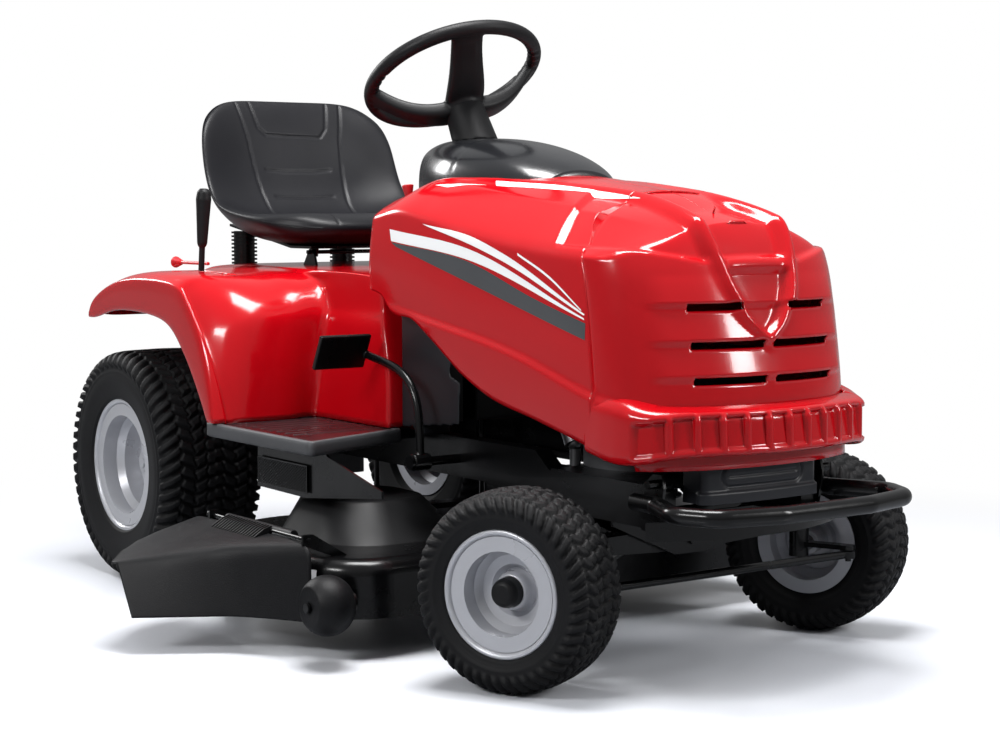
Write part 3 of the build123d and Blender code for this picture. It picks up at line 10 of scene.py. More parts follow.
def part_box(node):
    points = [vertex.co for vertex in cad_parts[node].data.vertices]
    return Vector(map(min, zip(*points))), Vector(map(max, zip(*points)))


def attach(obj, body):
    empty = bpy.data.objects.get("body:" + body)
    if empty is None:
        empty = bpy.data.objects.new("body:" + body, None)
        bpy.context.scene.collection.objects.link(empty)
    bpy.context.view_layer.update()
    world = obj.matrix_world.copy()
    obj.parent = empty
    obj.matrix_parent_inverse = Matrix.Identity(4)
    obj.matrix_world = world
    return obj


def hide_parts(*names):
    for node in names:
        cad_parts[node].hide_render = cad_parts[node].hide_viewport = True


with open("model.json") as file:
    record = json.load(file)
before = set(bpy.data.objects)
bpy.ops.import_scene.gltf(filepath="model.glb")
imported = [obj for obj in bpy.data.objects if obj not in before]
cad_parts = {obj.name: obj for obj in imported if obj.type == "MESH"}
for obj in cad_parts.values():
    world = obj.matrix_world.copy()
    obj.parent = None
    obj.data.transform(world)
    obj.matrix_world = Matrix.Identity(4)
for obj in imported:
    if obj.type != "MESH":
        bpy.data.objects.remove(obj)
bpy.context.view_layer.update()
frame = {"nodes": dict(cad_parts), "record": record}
record = frame["record"]
nodes = frame["nodes"]
bodyOf = {node: body for body, members in record["behaviour"]["bodies"].items()
          for node in members}

# Machine coordinates are millimetres ahead of the rear axle, left of the centreline and over the
# ground. The row's origin lies under the middle of the box, so the axle and the centreline stand
# at these two places in the row.
rearTyre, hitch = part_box("rear_tyre_right"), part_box("tow_hitch")
axleX = round(500 * (rearTyre[0].x + rearTyre[1].x), 2)
midY = round(500 * (hitch[0].y + hitch[1].y), 2)


# Machine millimetres to row metres.
def toRow(points):
    return (np.asarray(points, float) + (axleX, midY, 0)) / 1000


# sRGB hex to linear RGBA.
def hexToLinear(code):
    parts = [int(code[i:i + 2], 16) / 255 for i in (1, 3, 5)]
    return [c / 12.92 if c <= 0.04045 else ((c + 0.055) / 1.055) ** 2.4 for c in parts] + [1.0]


# A shader node; sockets maps an input's name or number to a value or to another output.
def addNode(tree, kind, sockets=None, **settings):
    node = tree.nodes.new(kind)
    for key, value in settings.items():
        setattr(node, key, value)
    for key, value in (sockets or {}).items():
        if isinstance(value, bpy.types.NodeSocket):
            tree.links.new(value, node.inputs[key])
        else:
            node.inputs[key].default_value = value
    return node


# A new material with its tree, its principled shader and object coordinates.
def startMaterial(name):
    material = bpy.data.materials.new(name)
    material.use_nodes = True
    tree = material.node_tree
    shader = tree.nodes["Principled BSDF"]
    place = addNode(tree, "ShaderNodeTexCoord").outputs["Object"]
    return material, tree, shader, place


# Colour that wanders between two tones over patches of the given frequency per metre.
def varied(tree, place, dark, light, scale, detail=4.0):
    cloud = addNode(tree, "ShaderNodeTexNoise", {"Vector": place, "Scale": scale, "Detail": detail})
    mix = addNode(tree, "ShaderNodeMix", {"Factor": cloud.outputs["Fac"], "A": hexToLinear(dark),
                                          "B": hexToLinear(light)}, data_type="RGBA")
    return mix.outputs["Result"]


# One moulded, cast or painted surface: colour patches, fine grain and a varied gloss.
def plainMaterial(name, look):
    material, tree, shader, place = startMaterial(name)
    colour = varied(tree, place, look["dark"], look["light"], look.get("patch", 6.0))
    tree.links.new(colour, shader.inputs["Base Color"])
    # handling marks of about 110 mm
    gloss = addNode(tree, "ShaderNodeTexNoise", {"Vector": place, "Scale": 9.0, "Detail": 5.0})
    spread = addNode(tree, "ShaderNodeMapRange", {
        "Value": gloss.outputs["Fac"], "From Min": 0.3, "From Max": 0.7,
        "To Min": look["rough"][0], "To Max": look["rough"][1]})
    tree.links.new(spread.outputs["Result"], shader.inputs["Roughness"])
    shader.inputs["Metallic"].default_value = look.get("metal", 0.0)
    shader.inputs["Coat Weight"].default_value = look.get("coat", 0.0)
    shader.inputs["Coat Roughness"].default_value = 0.05
    shader.inputs["Specular IOR Level"].default_value = look.get("specular", 0.5)
    if look.get("grain"):
        size, depth = look["grain"]
        grain = addNode(tree, "ShaderNodeTexNoise", {"Vector": place, "Scale": 1000 / size,
                                                     "Detail": 2.0, "Roughness": 0.6})
        bump = addNode(tree, "ShaderNodeBump", {"Height": grain.outputs["Fac"],
                                                "Distance": depth / 1000, "Strength": 1.0})
        tree.links.new(bump.outputs["Normal"], shader.inputs["Normal"])
    return material


looks = {
    # two tones, roughness from and to, weight of the lacquer over it, grain as its size and depth
    # in millimetres, and colour patches to a metre
    # baked gloss enamel on pressed steel: deep red, mirror-like, with a slight orange peel
    "redEnamel": {"dark": "#A9030E", "light": "#B80612", "rough": (0.12, 0.20), "coat": 0.25,
                  "specular": 0.3, "grain": (6, 0.04), "patch": 3.0},
    # black enamel on the frame, the deck and the bumper: true black with soft bright edges
    "blackEnamel": {"dark": "#050506", "light": "#0A0A0B", "rough": (0.18, 0.32), "coat": 0.05,
                    "specular": 0.25, "grain": (4, 0.06)},
    # glass-filled black moulding with a fine spark-eroded grain, dull at every angle
    "blackMoulding": {"dark": "#0B0B0C", "light": "#131315", "rough": (0.42, 0.56),
                      "specular": 0.22, "grain": (1.2, 0.12)},
    # smoother moulding of the dash pod: near black with a clear sheen
    "glossMoulding": {"dark": "#0E0F11", "light": "#15161A", "rough": (0.20, 0.30), "coat": 0.15,
                      "grain": (1.5, 0.03)},
    # thermoplastic band round the running boards, matt grey
    "greyMoulding": {"dark": "#3A3B3D", "light": "#46474A", "rough": (0.50, 0.62),
                     "grain": (1.5, 0.12)},
    # silver lacquer on the pressed wheels: pale grey, half metal, satin
    "silverLacquer": {"dark": "#B4B5BA", "light": "#C2C3C8", "rough": (0.26, 0.38), "coat": 0.3,
                      "metal": 0.35, "grain": (5, 0.04)},
    # bare machined steel: pale, metallic, half matt
    "bareSteel": {"dark": "#7E7F82", "light": "#9A9B9E", "rough": (0.28, 0.46), "metal": 0.9,
                  "grain": (0.8, 0.03)},
    # sand-cast aluminium of the engine and the transaxle: mid grey, rough and dull
    "castAlloy": {"dark": "#4A4B4D", "light": "#5E5F62", "rough": (0.48, 0.62), "metal": 0.6,
                  "grain": (1.6, 0.3)},
    # wrapped rubber of the belts: dead black
    "beltRubber": {"dark": "#070707", "light": "#0D0D0D", "rough": (0.65, 0.8), "specular": 0.2,
                   "grain": (1, 0.1)},
    # knobs moulded in red: an even colour with a soft shine
    "redMoulding": {"dark": "#B00C16", "light": "#C0121E", "rough": (0.32, 0.42),
                    "grain": (1, 0.05)},
    # dark grey moulding of the console and the guard: smoother and paler than the black
    "greyPanel": {"dark": "#1A1B1E", "light": "#232428", "rough": (0.34, 0.46), "specular": 0.25,
                  "grain": (1.2, 0.06)},
    # black polyethylene of the deflector and the gauge wheels, with a coarse grain that shows
    "roughMoulding": {"dark": "#0A0A0C", "light": "#121214", "rough": (0.42, 0.58), "specular": 0.2,
                      "grain": (2.2, 0.4)},
    # rubbed moulding of the running boards: black with long soft lights
    "boardMoulding": {"dark": "#0D0D0F", "light": "#16171A", "rough": (0.22, 0.36), "coat": 0.2,
                      "grain": (2, 0.06)},
    # soft black vinyl of the seat: a leather grain and a low, broad sheen
    "seatVinyl": {"dark": "#0F0F12", "light": "#17171B", "rough": (0.34, 0.46), "specular": 0.22,
                  "grain": (1.6, 0.16)},
    # white and dark grey stripe films under lacquer, as glossy as the hood
    "whiteFilm": {"dark": "#ECEDEE", "light": "#F6F7F8", "rough": (0.12, 0.2), "coat": 0.4},
    "greyFilm": {"dark": "#3B3D40", "light": "#45474A", "rough": (0.12, 0.2), "coat": 0.4},
    # blown polyethylene of the tank: milky and matt
    "tankPlastic": {"dark": "#D8D5CA", "light": "#E2DFD6", "rough": (0.45, 0.55),
                    "grain": (2, 0.1)},
}
materials = {name: plainMaterial(name, look) for name, look in looks.items()}


# Dull black rubber with mould dust in it and a faint sheen.
def tyreRubber():
    material, tree, shader, place = startMaterial("tyreRubber")
    colour = varied(tree, place, "#0A0A0B", "#141416", 14.0, 6.0)
    tree.links.new(colour, shader.inputs["Base Color"])
    shader.inputs["Roughness"].default_value = 0.62
    shader.inputs["Specular IOR Level"].default_value = 0.2
    # a grain of about 1.7 mm, coarser than real so that it shows
    grain = addNode(tree, "ShaderNodeTexNoise", {"Vector": place, "Scale": 600.0, "Detail": 3.0})
    bump = addNode(tree, "ShaderNodeBump", {"Height": grain.outputs["Fac"],
                                            "Distance": 0.00025, "Strength": 1.0})
    tree.links.new(bump.outputs["Normal"], shader.inputs["Normal"])
    return material


materials["tyreRubber"] = tyreRubber()

nodeLooks = {
    "blackEnamel": ["frame_rail_right", "frame_rail_left", "frame_plates", "tow_hitch",
                    "front_axle_brackets", "front_axle", "muffler_guard", "blower_housing",
                    "bumper", "side_guards", "deck_shell", "seat_frame", "drive_pedal",
                    "seat_mounts", "deck_pins", "tie_rod", "drag_link", "knuckle_right",
                    "knuckle_left"],
    "castAlloy": ["transaxle", "engine_block", "spindle_housings"],
    "beltRubber": ["drive_belt", "blade_belt"],
    "blackMoulding": ["column_cover", "console", "hub_cap_right", "hub_cap_left", "deflector",
                      "gauge_wheel_right", "gauge_wheel_left", "steering_wheel", "height_lever",
                      "running_boards", "seat", "belt_covers"],
    "glossMoulding": ["dash_dome"],
    "redEnamel": ["rear_body", "hood_shell", "hood_nose"],
    "silverLacquer": ["rear_rim_right", "rear_rim_left", "front_rim_right", "front_rim_left"],
    "bareSteel": ["steering_column", "steering_shaft", "steering_pinion", "steering_quadrant",
                  "crankshaft", "drive_pulley", "blade_right", "blade_left"],
    "redMoulding": ["throttle_lever", "release_knob"],
    "tankPlastic": ["fuel_tank"],
    "tyreRubber": ["rear_tyre_right", "rear_tyre_left", "front_tyre_right", "front_tyre_left"],
}
for look, members in nodeLooks.items():
    for member in members:
        if member not in nodes:
            continue
        mesh = nodes[member].data
        mesh.materials.clear()
        mesh.materials.append(materials[look])
print("cad materials")


# A mesh object from machine-millimetre points and faces.
def addObject(name, points, faces, material, smooth=True):
    mesh = bpy.data.meshes.new(name)
    mesh.from_pydata(toRow(points).tolist(), [], faces)
    mesh.materials.append(materials[material])
    mesh.polygons.foreach_set("use_smooth", [smooth] * len(mesh.polygons))
    obj = bpy.data.objects.new(name, mesh)
    bpy.context.scene.collection.objects.link(obj)
    return obj


# A surface through a rows by columns array of points; faces marked in holes are left out.
def addGrid(name, points, material, wrapColumns=False, holes=None):
    rows, columns = points.shape[:2]
    index = np.arange(rows * columns).reshape(rows, columns)
    if wrapColumns:
        index = np.hstack([index, index[:, :1]])
    quads = np.stack([index[:-1, :-1], index[:-1, 1:], index[1:, 1:], index[1:, :-1]], axis=-1)
    kept = np.ones(quads.shape[:2], bool) if holes is None else ~holes
    return addObject(name, points.reshape(-1, 3), quads[kept].tolist(), material)


# A modifier with its settings.
def addModifier(obj, kind, **settings):
    modifier = obj.modifiers.new(kind.lower(), kind)
    for key, value in settings.items():
        setattr(modifier, key, value)
    return obj


# Sheet thickness in millimetres, inward of the surface.
def thicken(obj, thickness):
    return addModifier(obj, "SOLIDIFY", thickness=thickness / 1000, offset=-1)


# A fused form: an even skin of small squares, relaxed a few turns and kept as the mesh.
def settle(obj, voxel, turns, material):
    addModifier(obj, "REMESH", mode="VOXEL", voxel_size=voxel / 1000, adaptivity=0.0)
    addModifier(obj, "SMOOTH", factor=0.5, iterations=turns)
    depsgraph = bpy.context.evaluated_depsgraph_get()
    finished = bpy.data.meshes.new_from_object(obj.evaluated_get(depsgraph))
    obj.modifiers.clear()
    obj.data = finished
    finished.materials.clear()
    finished.materials.append(materials[material])
    finished.polygons.foreach_set("use_smooth", [True] * len(finished.polygons))


# Even angles once round.
def circle(count):
    return np.linspace(0, 2 * pi, count, endpoint=False)


# Rounds a line in place: each turn moves points half way to their neighbours' middle.
def average(line, turns):
    for _ in range(turns):
        line[1:-1] += 0.5 * ((line[:-2] + line[2:]) / 2 - line[1:-1])
    return line


# Unit normals of a plan's line, to the right of its direction.
def outwardOf(plan):
    run = np.gradient(plan, axis=0)
    outward = np.column_stack([run[:, 1], -run[:, 0]])
    return outward / np.linalg.norm(outward, axis=1, keepdims=True)


# A sheet that follows a plan: each point stands off the plan by its shift, at its height.
def carry(plan, shift, height):
    place = plan[None] + outwardOf(plan)[None] * shift[..., None]
    return np.concatenate([place, np.broadcast_to(height, shift.shape)[..., None]], axis=-1)


# Smooth rise from 0 to 1 between two values.
def step(low, high, value):
    share = np.clip((value - low) / (high - low), 0, 1)
    return share * share * (3 - 2 * share)


# Smooth curve through a table's points, by cubic steps between them.
def ease(table, value, column=1):
    table = np.asarray(table, float)
    xs, ys = table[:, 0], table[:, column]
    slope = np.gradient(ys, xs)
    value = np.clip(value, xs[0], xs[-1])
    at = np.clip(np.searchsorted(xs, value, side="right") - 1, 0, len(xs) - 2)
    width = xs[at + 1] - xs[at]
    t = (value - xs[at]) / width
    return ((2 * t**3 - 3 * t**2 + 1) * ys[at] + (t**3 - 2 * t**2 + t) * width * slope[at]
            + (3 * t**2 - 2 * t**3) * ys[at + 1] + (t**3 - t**2) * width * slope[at + 1])


# Unit normals of a grid, from the cross of its two directions.
def normalsOf(points):
    across = np.gradient(points, axis=1)
    along = np.gradient(points, axis=0)
    normal = np.cross(across, along)
    return normal / np.maximum(np.linalg.norm(normal, axis=-1, keepdims=True), 1e-9)


# Rounds a grid up and down: each turn moves points towards their neighbours' middle.
def relax(points, weight, turns):
    points = points.copy()
    weight = weight[..., None]
    for _ in range(turns):
        middle = (points[:-2] + points[2:]) / 2
        points[1:-1] += weight[1:-1] * 0.5 * (middle - points[1:-1])
    return points


hood = {
    # ahead, crown, half width and height of the chamfer's top, of its foot, half width at the side
    "stations": [(600, 785, 158, 760, 228, 726, 232), (690, 806, 160, 784, 229, 737, 234),
                 (770, 806, 160, 782, 230, 726, 235), (906, 797, 159, 768, 231, 702, 236),
                 (1069, 778, 158, 748, 232, 681, 238), (1194, 760, 150, 735, 233, 672, 240),
                 (1290, 740, 135, 715, 228, 665, 241), (1400, 706, 118, 684, 218, 640, 242)],
    "edge": [(600, 594), (646, 579), (660, 566), (753, 545), (807, 517), (914, 457), (972, 434),
             (1128, 401), (1233, 379), (1310, 361), (1363, 344), (1420, 342)],
    # height, front of the nose on the centreline
    "nose": [(300, 1413), (345, 1410), (475, 1404), (531, 1396), (589, 1386), (647, 1372),
             (700, 1348), (748, 1317), (800, 1284)],
    "noseDepth": 140,
    "noseStation": 1290,  # ahead, where the sides' width counts for the nose
    "rear": [(560, 600), (640, 598), (740, 606), (790, 612)],  # height, rear edge of the side
    "front": (342, 642),  # heights of the front face's foot and of its even rows
    "flat": 180,  # aside, beyond which the columns share the way to the side
    "spine": (1120, 150),  # where the nose's columns end on the middle line, from and over
    "sheet": 3,
    # crest: ahead less height, half spread, height of its bead
    "crest": [(-140, 150, 1.5), (17, 124, 2.5), (123, 108, 3.5), (231, 88, 5), (340, 76, 6.5),
              (450, 73, 7.5), (541, 80, 8), (600, 84, 8), (696, 76, 9), (785, 54, 9),
              (830, 30, 8), (858, 4, 5), (880, 0, 0)],
    "crestWidth": 10,
    "slotRows": [(589, 45), (531, 10), (477, 10)],
    "slotEnd": 141,
    "slotHalf": 5.5,
    # ahead, height of the crease over the lower band of the side, and how proud the band stands
    "crease": [(600, 578), (763, 552), (1069, 502), (1278, 448), (1420, 424)], "bandHigh": 5,
    # hollows between the crests: depth, where each opens and closes as ahead less height
    "valley": (13, (400, 520), (706, 690)), "beakPocket": (11, (722, 732), (862, 840)),
    # cheek outside a crest: depth, its rear edge and its foot at a place aside, with their slopes
    "cheek": 8, "cheekRear": (1112, 165, 0.55), "cheekFoot": (655, 90, 0.18),
    "tier": (5.5, 44),  # how proud a slot's upper lip stands and over what height it fades
}


# Height of the hood's upper side: a crowned top, then a chamfer down to the shoulder.
def hoodTop(x, y):
    crown, topHalf, top, footHalf, foot = (ease(hood["stations"], x, k) for k in range(1, 6))
    y = np.abs(y)
    inner = top + (crown - top) * (1 - np.clip(y / topHalf, 0, 1) ** 2.2)
    share = np.clip((y - topHalf) / (footHalf - topHalf), 0, 1)
    outer = top + (foot - top) * share + 3 * np.sin(pi * share)
    return np.where(y < topHalf, inner, outer)


# How far ahead the nose reaches: a blunt curve that turns square into the sides.
def hoodFront(y, z):
    half = ease(hood["stations"], np.full_like(z, hood["noseStation"]), 6)
    reach = np.clip(1 - np.clip(np.abs(y) / half, 0, 1) ** 2.4, 0, 1) ** 0.4545
    front = ease(hood["nose"], z)
    return front - hood["noseDepth"] * (1 - reach)


# Height over the plain surface: crests, scoops, crease and the tiers of the slots.
def hoodDetail(points):
    x, y, z = points[..., 0], np.abs(points[..., 1]), points[..., 2]
    path = x - z
    spread, bead = ease(hood["crest"], path), ease(hood["crest"], path, 2)
    off = y - spread
    height = bead * np.exp(-(off / hood["crestWidth"]) ** 2)
    # valley between the crests, then the pocket over the beak
    depth, opens, closes = hood["valley"]
    height -= depth * step(-6, -22, off) * step(*opens, path) * step(*closes, path)
    depth, opens, closes = hood["beakPocket"]
    height -= depth * step(-4, -14, off) * step(*opens, path) * step(*closes, path)
    # sunk cheek between a crest and the end of the chamfer
    start, foot = (place + slope * (y - aside)
                   for place, aside, slope in (hood["cheekRear"], hood["cheekFoot"]))
    height -= (hood["cheek"] * step(10, 24, off) * step(start, start + 9, x)
               * step(foot, foot + 9, z))
    # the lower band of the side stands proud of the rest
    crease = ease(hood["crease"], x)
    height += (hood["bandHigh"] * step(crease + 7, crease - 5, z) * step(150, 190, y)
               * step(600, 800, x))
    # each slot's upper lip overhangs the face below
    proud, fade = hood["tier"]
    face = step(205, 165, y) * step(1270, 1300, x)
    for level, _ in hood["slotRows"]:
        low = level + hood["slotHalf"]
        height += proud * face * step(low - 3, low, z) * np.clip(1 - (z - low) / fade, 0, 1)
    return height


# Rows from the bottom edge up the wall and over to the middle, columns round the plan.
def hoodGrid():
    # columns: a share of the way along the side, then a distance from the centreline
    flat = hood["flat"]
    along = np.linspace(0, 1, 100)
    near = np.unique(np.concatenate([np.linspace(0, 10, 3), np.linspace(10, 45, 8),
                                     np.linspace(45, hood["slotEnd"], 21),
                                     np.linspace(hood["slotEnd"], flat, 9)]))[::-1]
    turn = np.linspace(0, 1, 20)[1:-1]
    # rows: heights on the front face, as shares of it
    low, middle = map(float, hood["front"])
    levels = [low, low + 10, low + 20]
    for level, _ in hood["slotRows"][::-1]:
        edges = (level - hood["slotHalf"], level + hood["slotHalf"])
        count = max(int((edges[0] - levels[-1]) / 5.5), 2)
        levels += list(np.linspace(levels[-1], edges[0], count + 1)[1:])
        levels += [level, edges[1]]
    levels += list(np.linspace(levels[-1], middle, 11)[1:])
    wall = (np.array(levels) - low) / (middle - low)
    upper = np.linspace(0, 1, 16)[1:]
    over = np.linspace(0, 1, 62)[1:]

    # one column: even shares of the wall's height, closer ones up to the brow, then the top
    def column(foot, mid, top, wallAt, topAt):
        heights = np.concatenate([foot + wall * (mid - foot), mid + upper * (top - mid)])
        return np.vstack([wallAt(heights), topAt(over)])

    # a column of the side, at a share of the way from the rear edge to the nose: its foot and
    # its top are found by a few turns, because the wall leans forward as it rises
    def sidePoint(share):
        def wallAt(z):
            rear = np.interp(z, *np.array(hood["rear"]).T)
            x = rear + share * (ease(hood["nose"], z) - hood["noseDepth"] - rear)
            foot, half = ease(hood["edge"], x), ease(hood["stations"], x, 6)
            rise = np.clip((z - foot) / (ease(hood["stations"], x, 5) - foot), 0, 1)
            y = half + (ease(hood["stations"], x, 4) - half) * rise**2 + 2.5 * np.sin(pi * rise)
            return np.stack([x, y, z], axis=-1)
        x = 600 + share * 585.0
        for _ in range(8):
            top = float(ease(hood["stations"], x, 5))
            x = wallAt(np.array([top]))[0, 0]
        foot = 560.0
        for _ in range(12):
            foot = float(ease(hood["edge"], wallAt(np.array([foot]))[0, 0]))
        start = wallAt(np.array([top]))[0]

        def topAt(g):
            x = start[0] - (60 * share**6) * step(0, 0.35, g)
            y = start[1] * (1 - g)
            return np.stack([x, y, hoodTop(x, y)], axis=-1)
        return column(foot, foot + 0.8 * (top - foot), top, wallAt, topAt)

    # a column of the nose: it runs up the front until that meets the top, then back to a point
    # of the spine
    def frontPoint(y, share):
        def wallAt(z):
            half = float(ease(hood["stations"], hood["noseStation"], 6))
            side = np.full_like(z, y if y <= flat else flat + (half - flat) * (y - flat))
            return np.stack([hoodFront(side, z), side, z], axis=-1)
        heights = np.linspace(650, 800, 600)
        tries = wallAt(heights)
        gap = hoodTop(tries[:, 0], tries[:, 1]) - heights
        top = heights[np.argmax(gap < 0)]
        start = wallAt(np.array([top]))[0]
        spine = hood["spine"][0] + hood["spine"][1] * share

        def topAt(g):
            x = start[0] + (spine - start[0]) * g
            yy = start[1] * (1 - g)
            return np.stack([x, yy, hoodTop(x, yy)], axis=-1)
        foot = max(float(ease(hood["edge"], start[0])) if share < 0.2 else low, low)
        return column(foot, middle, max(top, middle + 2), wallAt, topAt)

    ahead = [sidePoint(share) for share in along]
    places = list(flat + (1 - (1 - turn) ** 2))[::-1] + list(near)
    fan = [frontPoint(value, (k + 1) / len(places)) for k, value in enumerate(places)]
    half = np.stack(ahead + fan, axis=1)
    mirrored = half[:, :-1] * (1, -1, 1)
    return np.concatenate([mirrored, half[:, ::-1]], axis=1), len(ahead)


# Side panels and nose as two sheets that meet at a fine seam, with the slots cut through.
def addHood():
    points, seam = hoodGrid()
    rows, columns = points.shape[:2]
    # round the shoulders and the brow
    rowAt = np.arange(rows)[:, None] * np.ones(columns)
    brow = rows - 61
    points = relax(points, np.exp(-((rowAt - brow) / 5.0) ** 2), 14)
    points = points + normalsOf(points) * hoodDetail(points)[..., None]
    middle = (points[:-1, :-1] + points[1:, 1:]) / 2
    slots = np.zeros(middle.shape[:2], bool)
    for level, start in hood["slotRows"]:
        y = np.abs(middle[..., 1])
        slots |= ((np.abs(middle[..., 2] - level) < hood["slotHalf"]) & (middle[..., 0] > 1300)
                  & (y > start) & (y < hood["slotEnd"]))
    last = columns - seam
    sides = [("hoodRight", slice(0, seam)), ("hoodLeft", slice(last, columns))]
    for name, part in sides:
        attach(thicken(addGrid(name, points[:, part], "redEnamel"), hood["sheet"]), "hood")
    nose = addGrid("hoodNose", points[:, seam - 1:last + 1], "redEnamel",
                   holes=slots[:, seam - 1:last])
    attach(thicken(nose, hood["sheet"]), "hood")
    for obj in [bpy.data.objects[name] for name in ("hoodLeft", "hoodRight", "hoodNose")]:
        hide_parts("hood_shell", "hood_nose")


addHood()
print("hood")


tyres = {
    # radius, width, rim radius, rim half width, pitch of the blocks round the tread, lug height
    "rear": (228, 213, 122, 90, 25.6, 8),
    "front": (157, 128, 89, 52, 20.5, 6),
}
tread = {
    "spacing": 2.6, "rounding": 12, "columnsPerBlock": 9,
    # rows of blocks, as shares of the half width, and their slant; the last row is shorter
    "edges": [0.0, 0.15, 0.38, 0.62, 1.06], "slants": [0.0, 0.55, -0.45, 0.62],
    "block": 0.72, "lastBlock": 0.58, "gap": 1.3,
    "ring": (1.4, 1.6),  # height and width of the rings moulded on the wall
}
running = {"wheelbase": 1185, "track": 356, "kingpin": 273, "stub": 85,
           "steerRight": 24.0, "steerLeft": 25.7}


# Middle of a front wheel: the kingpin's place and the stub axle's length along its turn.
def steeredCentre(side, steer):
    turn, stub = radians(steer), running["stub"]
    return (running["wheelbase"] - side * stub * sin(turn),
            side * running["kingpin"] + side * stub * cos(turn), tyres["front"][0])


wheels = {
    # side of the machine, centre and steering angle in degrees
    "rear_right": (-1, (0, -running["track"], tyres["rear"][0]), 0.0),
    "rear_left": (1, (0, running["track"], tyres["rear"][0]), 0.0),
    "front_right": (-1, steeredCentre(-1, running["steerRight"]), running["steerRight"]),
    "front_left": (1, steeredCentre(1, running["steerLeft"]), running["steerLeft"]),
}


# Places a point of a wheel: outward along its axle, out from it and round it.
def wheelPoints(wheel, across, radius, angle):
    side, centre, steer = wheels[wheel]
    turn = radians(steer)
    ahead = np.array([cos(turn), sin(turn), 0.0])
    outward = side * np.array([-sin(turn), cos(turn), 0.0])
    across, radius, angle = np.broadcast_arrays(across, radius, angle)
    spoke = ahead * np.cos(angle)[..., None] + np.array([0, 0, 1.0]) * np.sin(angle)[..., None]
    return np.array(centre) + outward * across[..., None] + spoke * radius[..., None]


# Evenly spaced points along a polyline, its corners rounded by averaging.
def roundProfile(corners, spacing, turns):
    corners = np.asarray(corners, float)
    run = np.concatenate([[0], np.cumsum(np.linalg.norm(np.diff(corners, axis=0), axis=1))])
    at = np.linspace(0, run[-1], int(run[-1] / spacing) + 1)
    columns = [np.interp(at, run, corners[:, k]) for k in range(corners.shape[1])]
    return average(np.stack(columns, axis=1), turns)


# 1 on a block and 0 in a groove: four rows of staggered slanted blocks to each side.
def turfTread(across, around, half, pitch):
    place = np.abs(across) / half
    gap = tread["gap"] / half
    block = np.zeros_like(place + around)
    for k, slant in enumerate(tread["slants"]):
        low, high = tread["edges"][k:k + 2]
        zigzag = 0.02 * np.sin(2 * pi * around / pitch)
        row = step(low + zigzag + gap * 0.4, low + zigzag + gap * 1.6, place)
        if k == 0:
            row = np.ones_like(row)
        row = row * step(high + zigzag - gap * 0.4, high + zigzag - gap * 1.6, place)
        shift = (0.5 * pitch if k % 2 else 0.0) + np.where(across < 0, 0.25 * pitch, 0.0)
        slanted = around + shift + slant * np.abs(across)
        phase = np.abs(((slanted / pitch) % 1.0) - 0.5) * 2
        width = tread["block"] if k < 3 else tread["lastBlock"]
        block = np.maximum(block, row * step(width + 0.07, width - 0.07, phase))
    return block


# A turf tyre: bulged walls with moulded rings, a rounded shoulder and a block tread.
def addTyre(wheel):
    end = wheel.split("_")[0]
    radius, width, rim, rimHalf, pitch, lug = tyres[end]
    half = width / 2
    base = radius - lug
    corners = [(rim - 20, rimHalf - 8), (rim + 4, rimHalf - 4), (rim + 10, half - 8),
               ((radius + rim) / 2, half), (radius - 24, half - 3), (base - 3, half - 14),
               (base, half - 36), (base + 1.5, 0)]
    corners += [(r, -w) for r, w in corners[-2::-1]]
    profile = roundProfile(corners, tread["spacing"], tread["rounding"])
    r, w = profile[:, 0], profile[:, 1]
    tangent = np.gradient(profile, axis=0)
    normal = np.stack([-tangent[:, 1], tangent[:, 0]], axis=1)
    normal /= np.linalg.norm(normal, axis=1, keepdims=True)
    normal *= np.where(normal[:, :1] * (r[:, None] - (rim + radius) / 2)
                       + normal[:, 1:] * w[:, None] < 0, -1, 1)
    angle = circle(int(2 * pi * radius / pitch) * tread["columnsPerBlock"])
    crown = step(radius - 34, radius - 24, r)
    around = angle[None, :] / (2 * pi) * pitch * round(2 * pi * radius / pitch)
    run = np.cumsum(np.concatenate([[0], np.linalg.norm(np.diff(profile, axis=0), axis=1)]))
    across = (run - run[-1] / 2)[:, None]
    treadHalf = run[-1] / 2 - np.interp(radius - 30, r[:len(r) // 2], run[:len(r) // 2])
    height = lug * crown[:, None] * turfTread(across, around, treadHalf, pitch)
    # moulded rings on the wall
    ringHigh, ringWide = tread["ring"]
    wallRing = sum(np.exp(-((r - level) / ringWide) ** 2) for level in (rim + 14, radius - 40))
    height = height + ringHigh * wallRing[:, None] * (1 - crown[:, None])
    out = wheelPoints(wheel, w[:, None] + normal[:, 1:] * height,
                      r[:, None] + normal[:, :1] * height, angle[None, :])
    tyre = addGrid(wheel.replace("_", "Tyre_"), out, "tyreRubber", wrapColumns=True)
    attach(tyre, wheel.replace("_", "_wheel_"))
    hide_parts(wheel.replace("_", "_tyre_"))


for wheel in wheels:
    addTyre(wheel)
print("tyres")


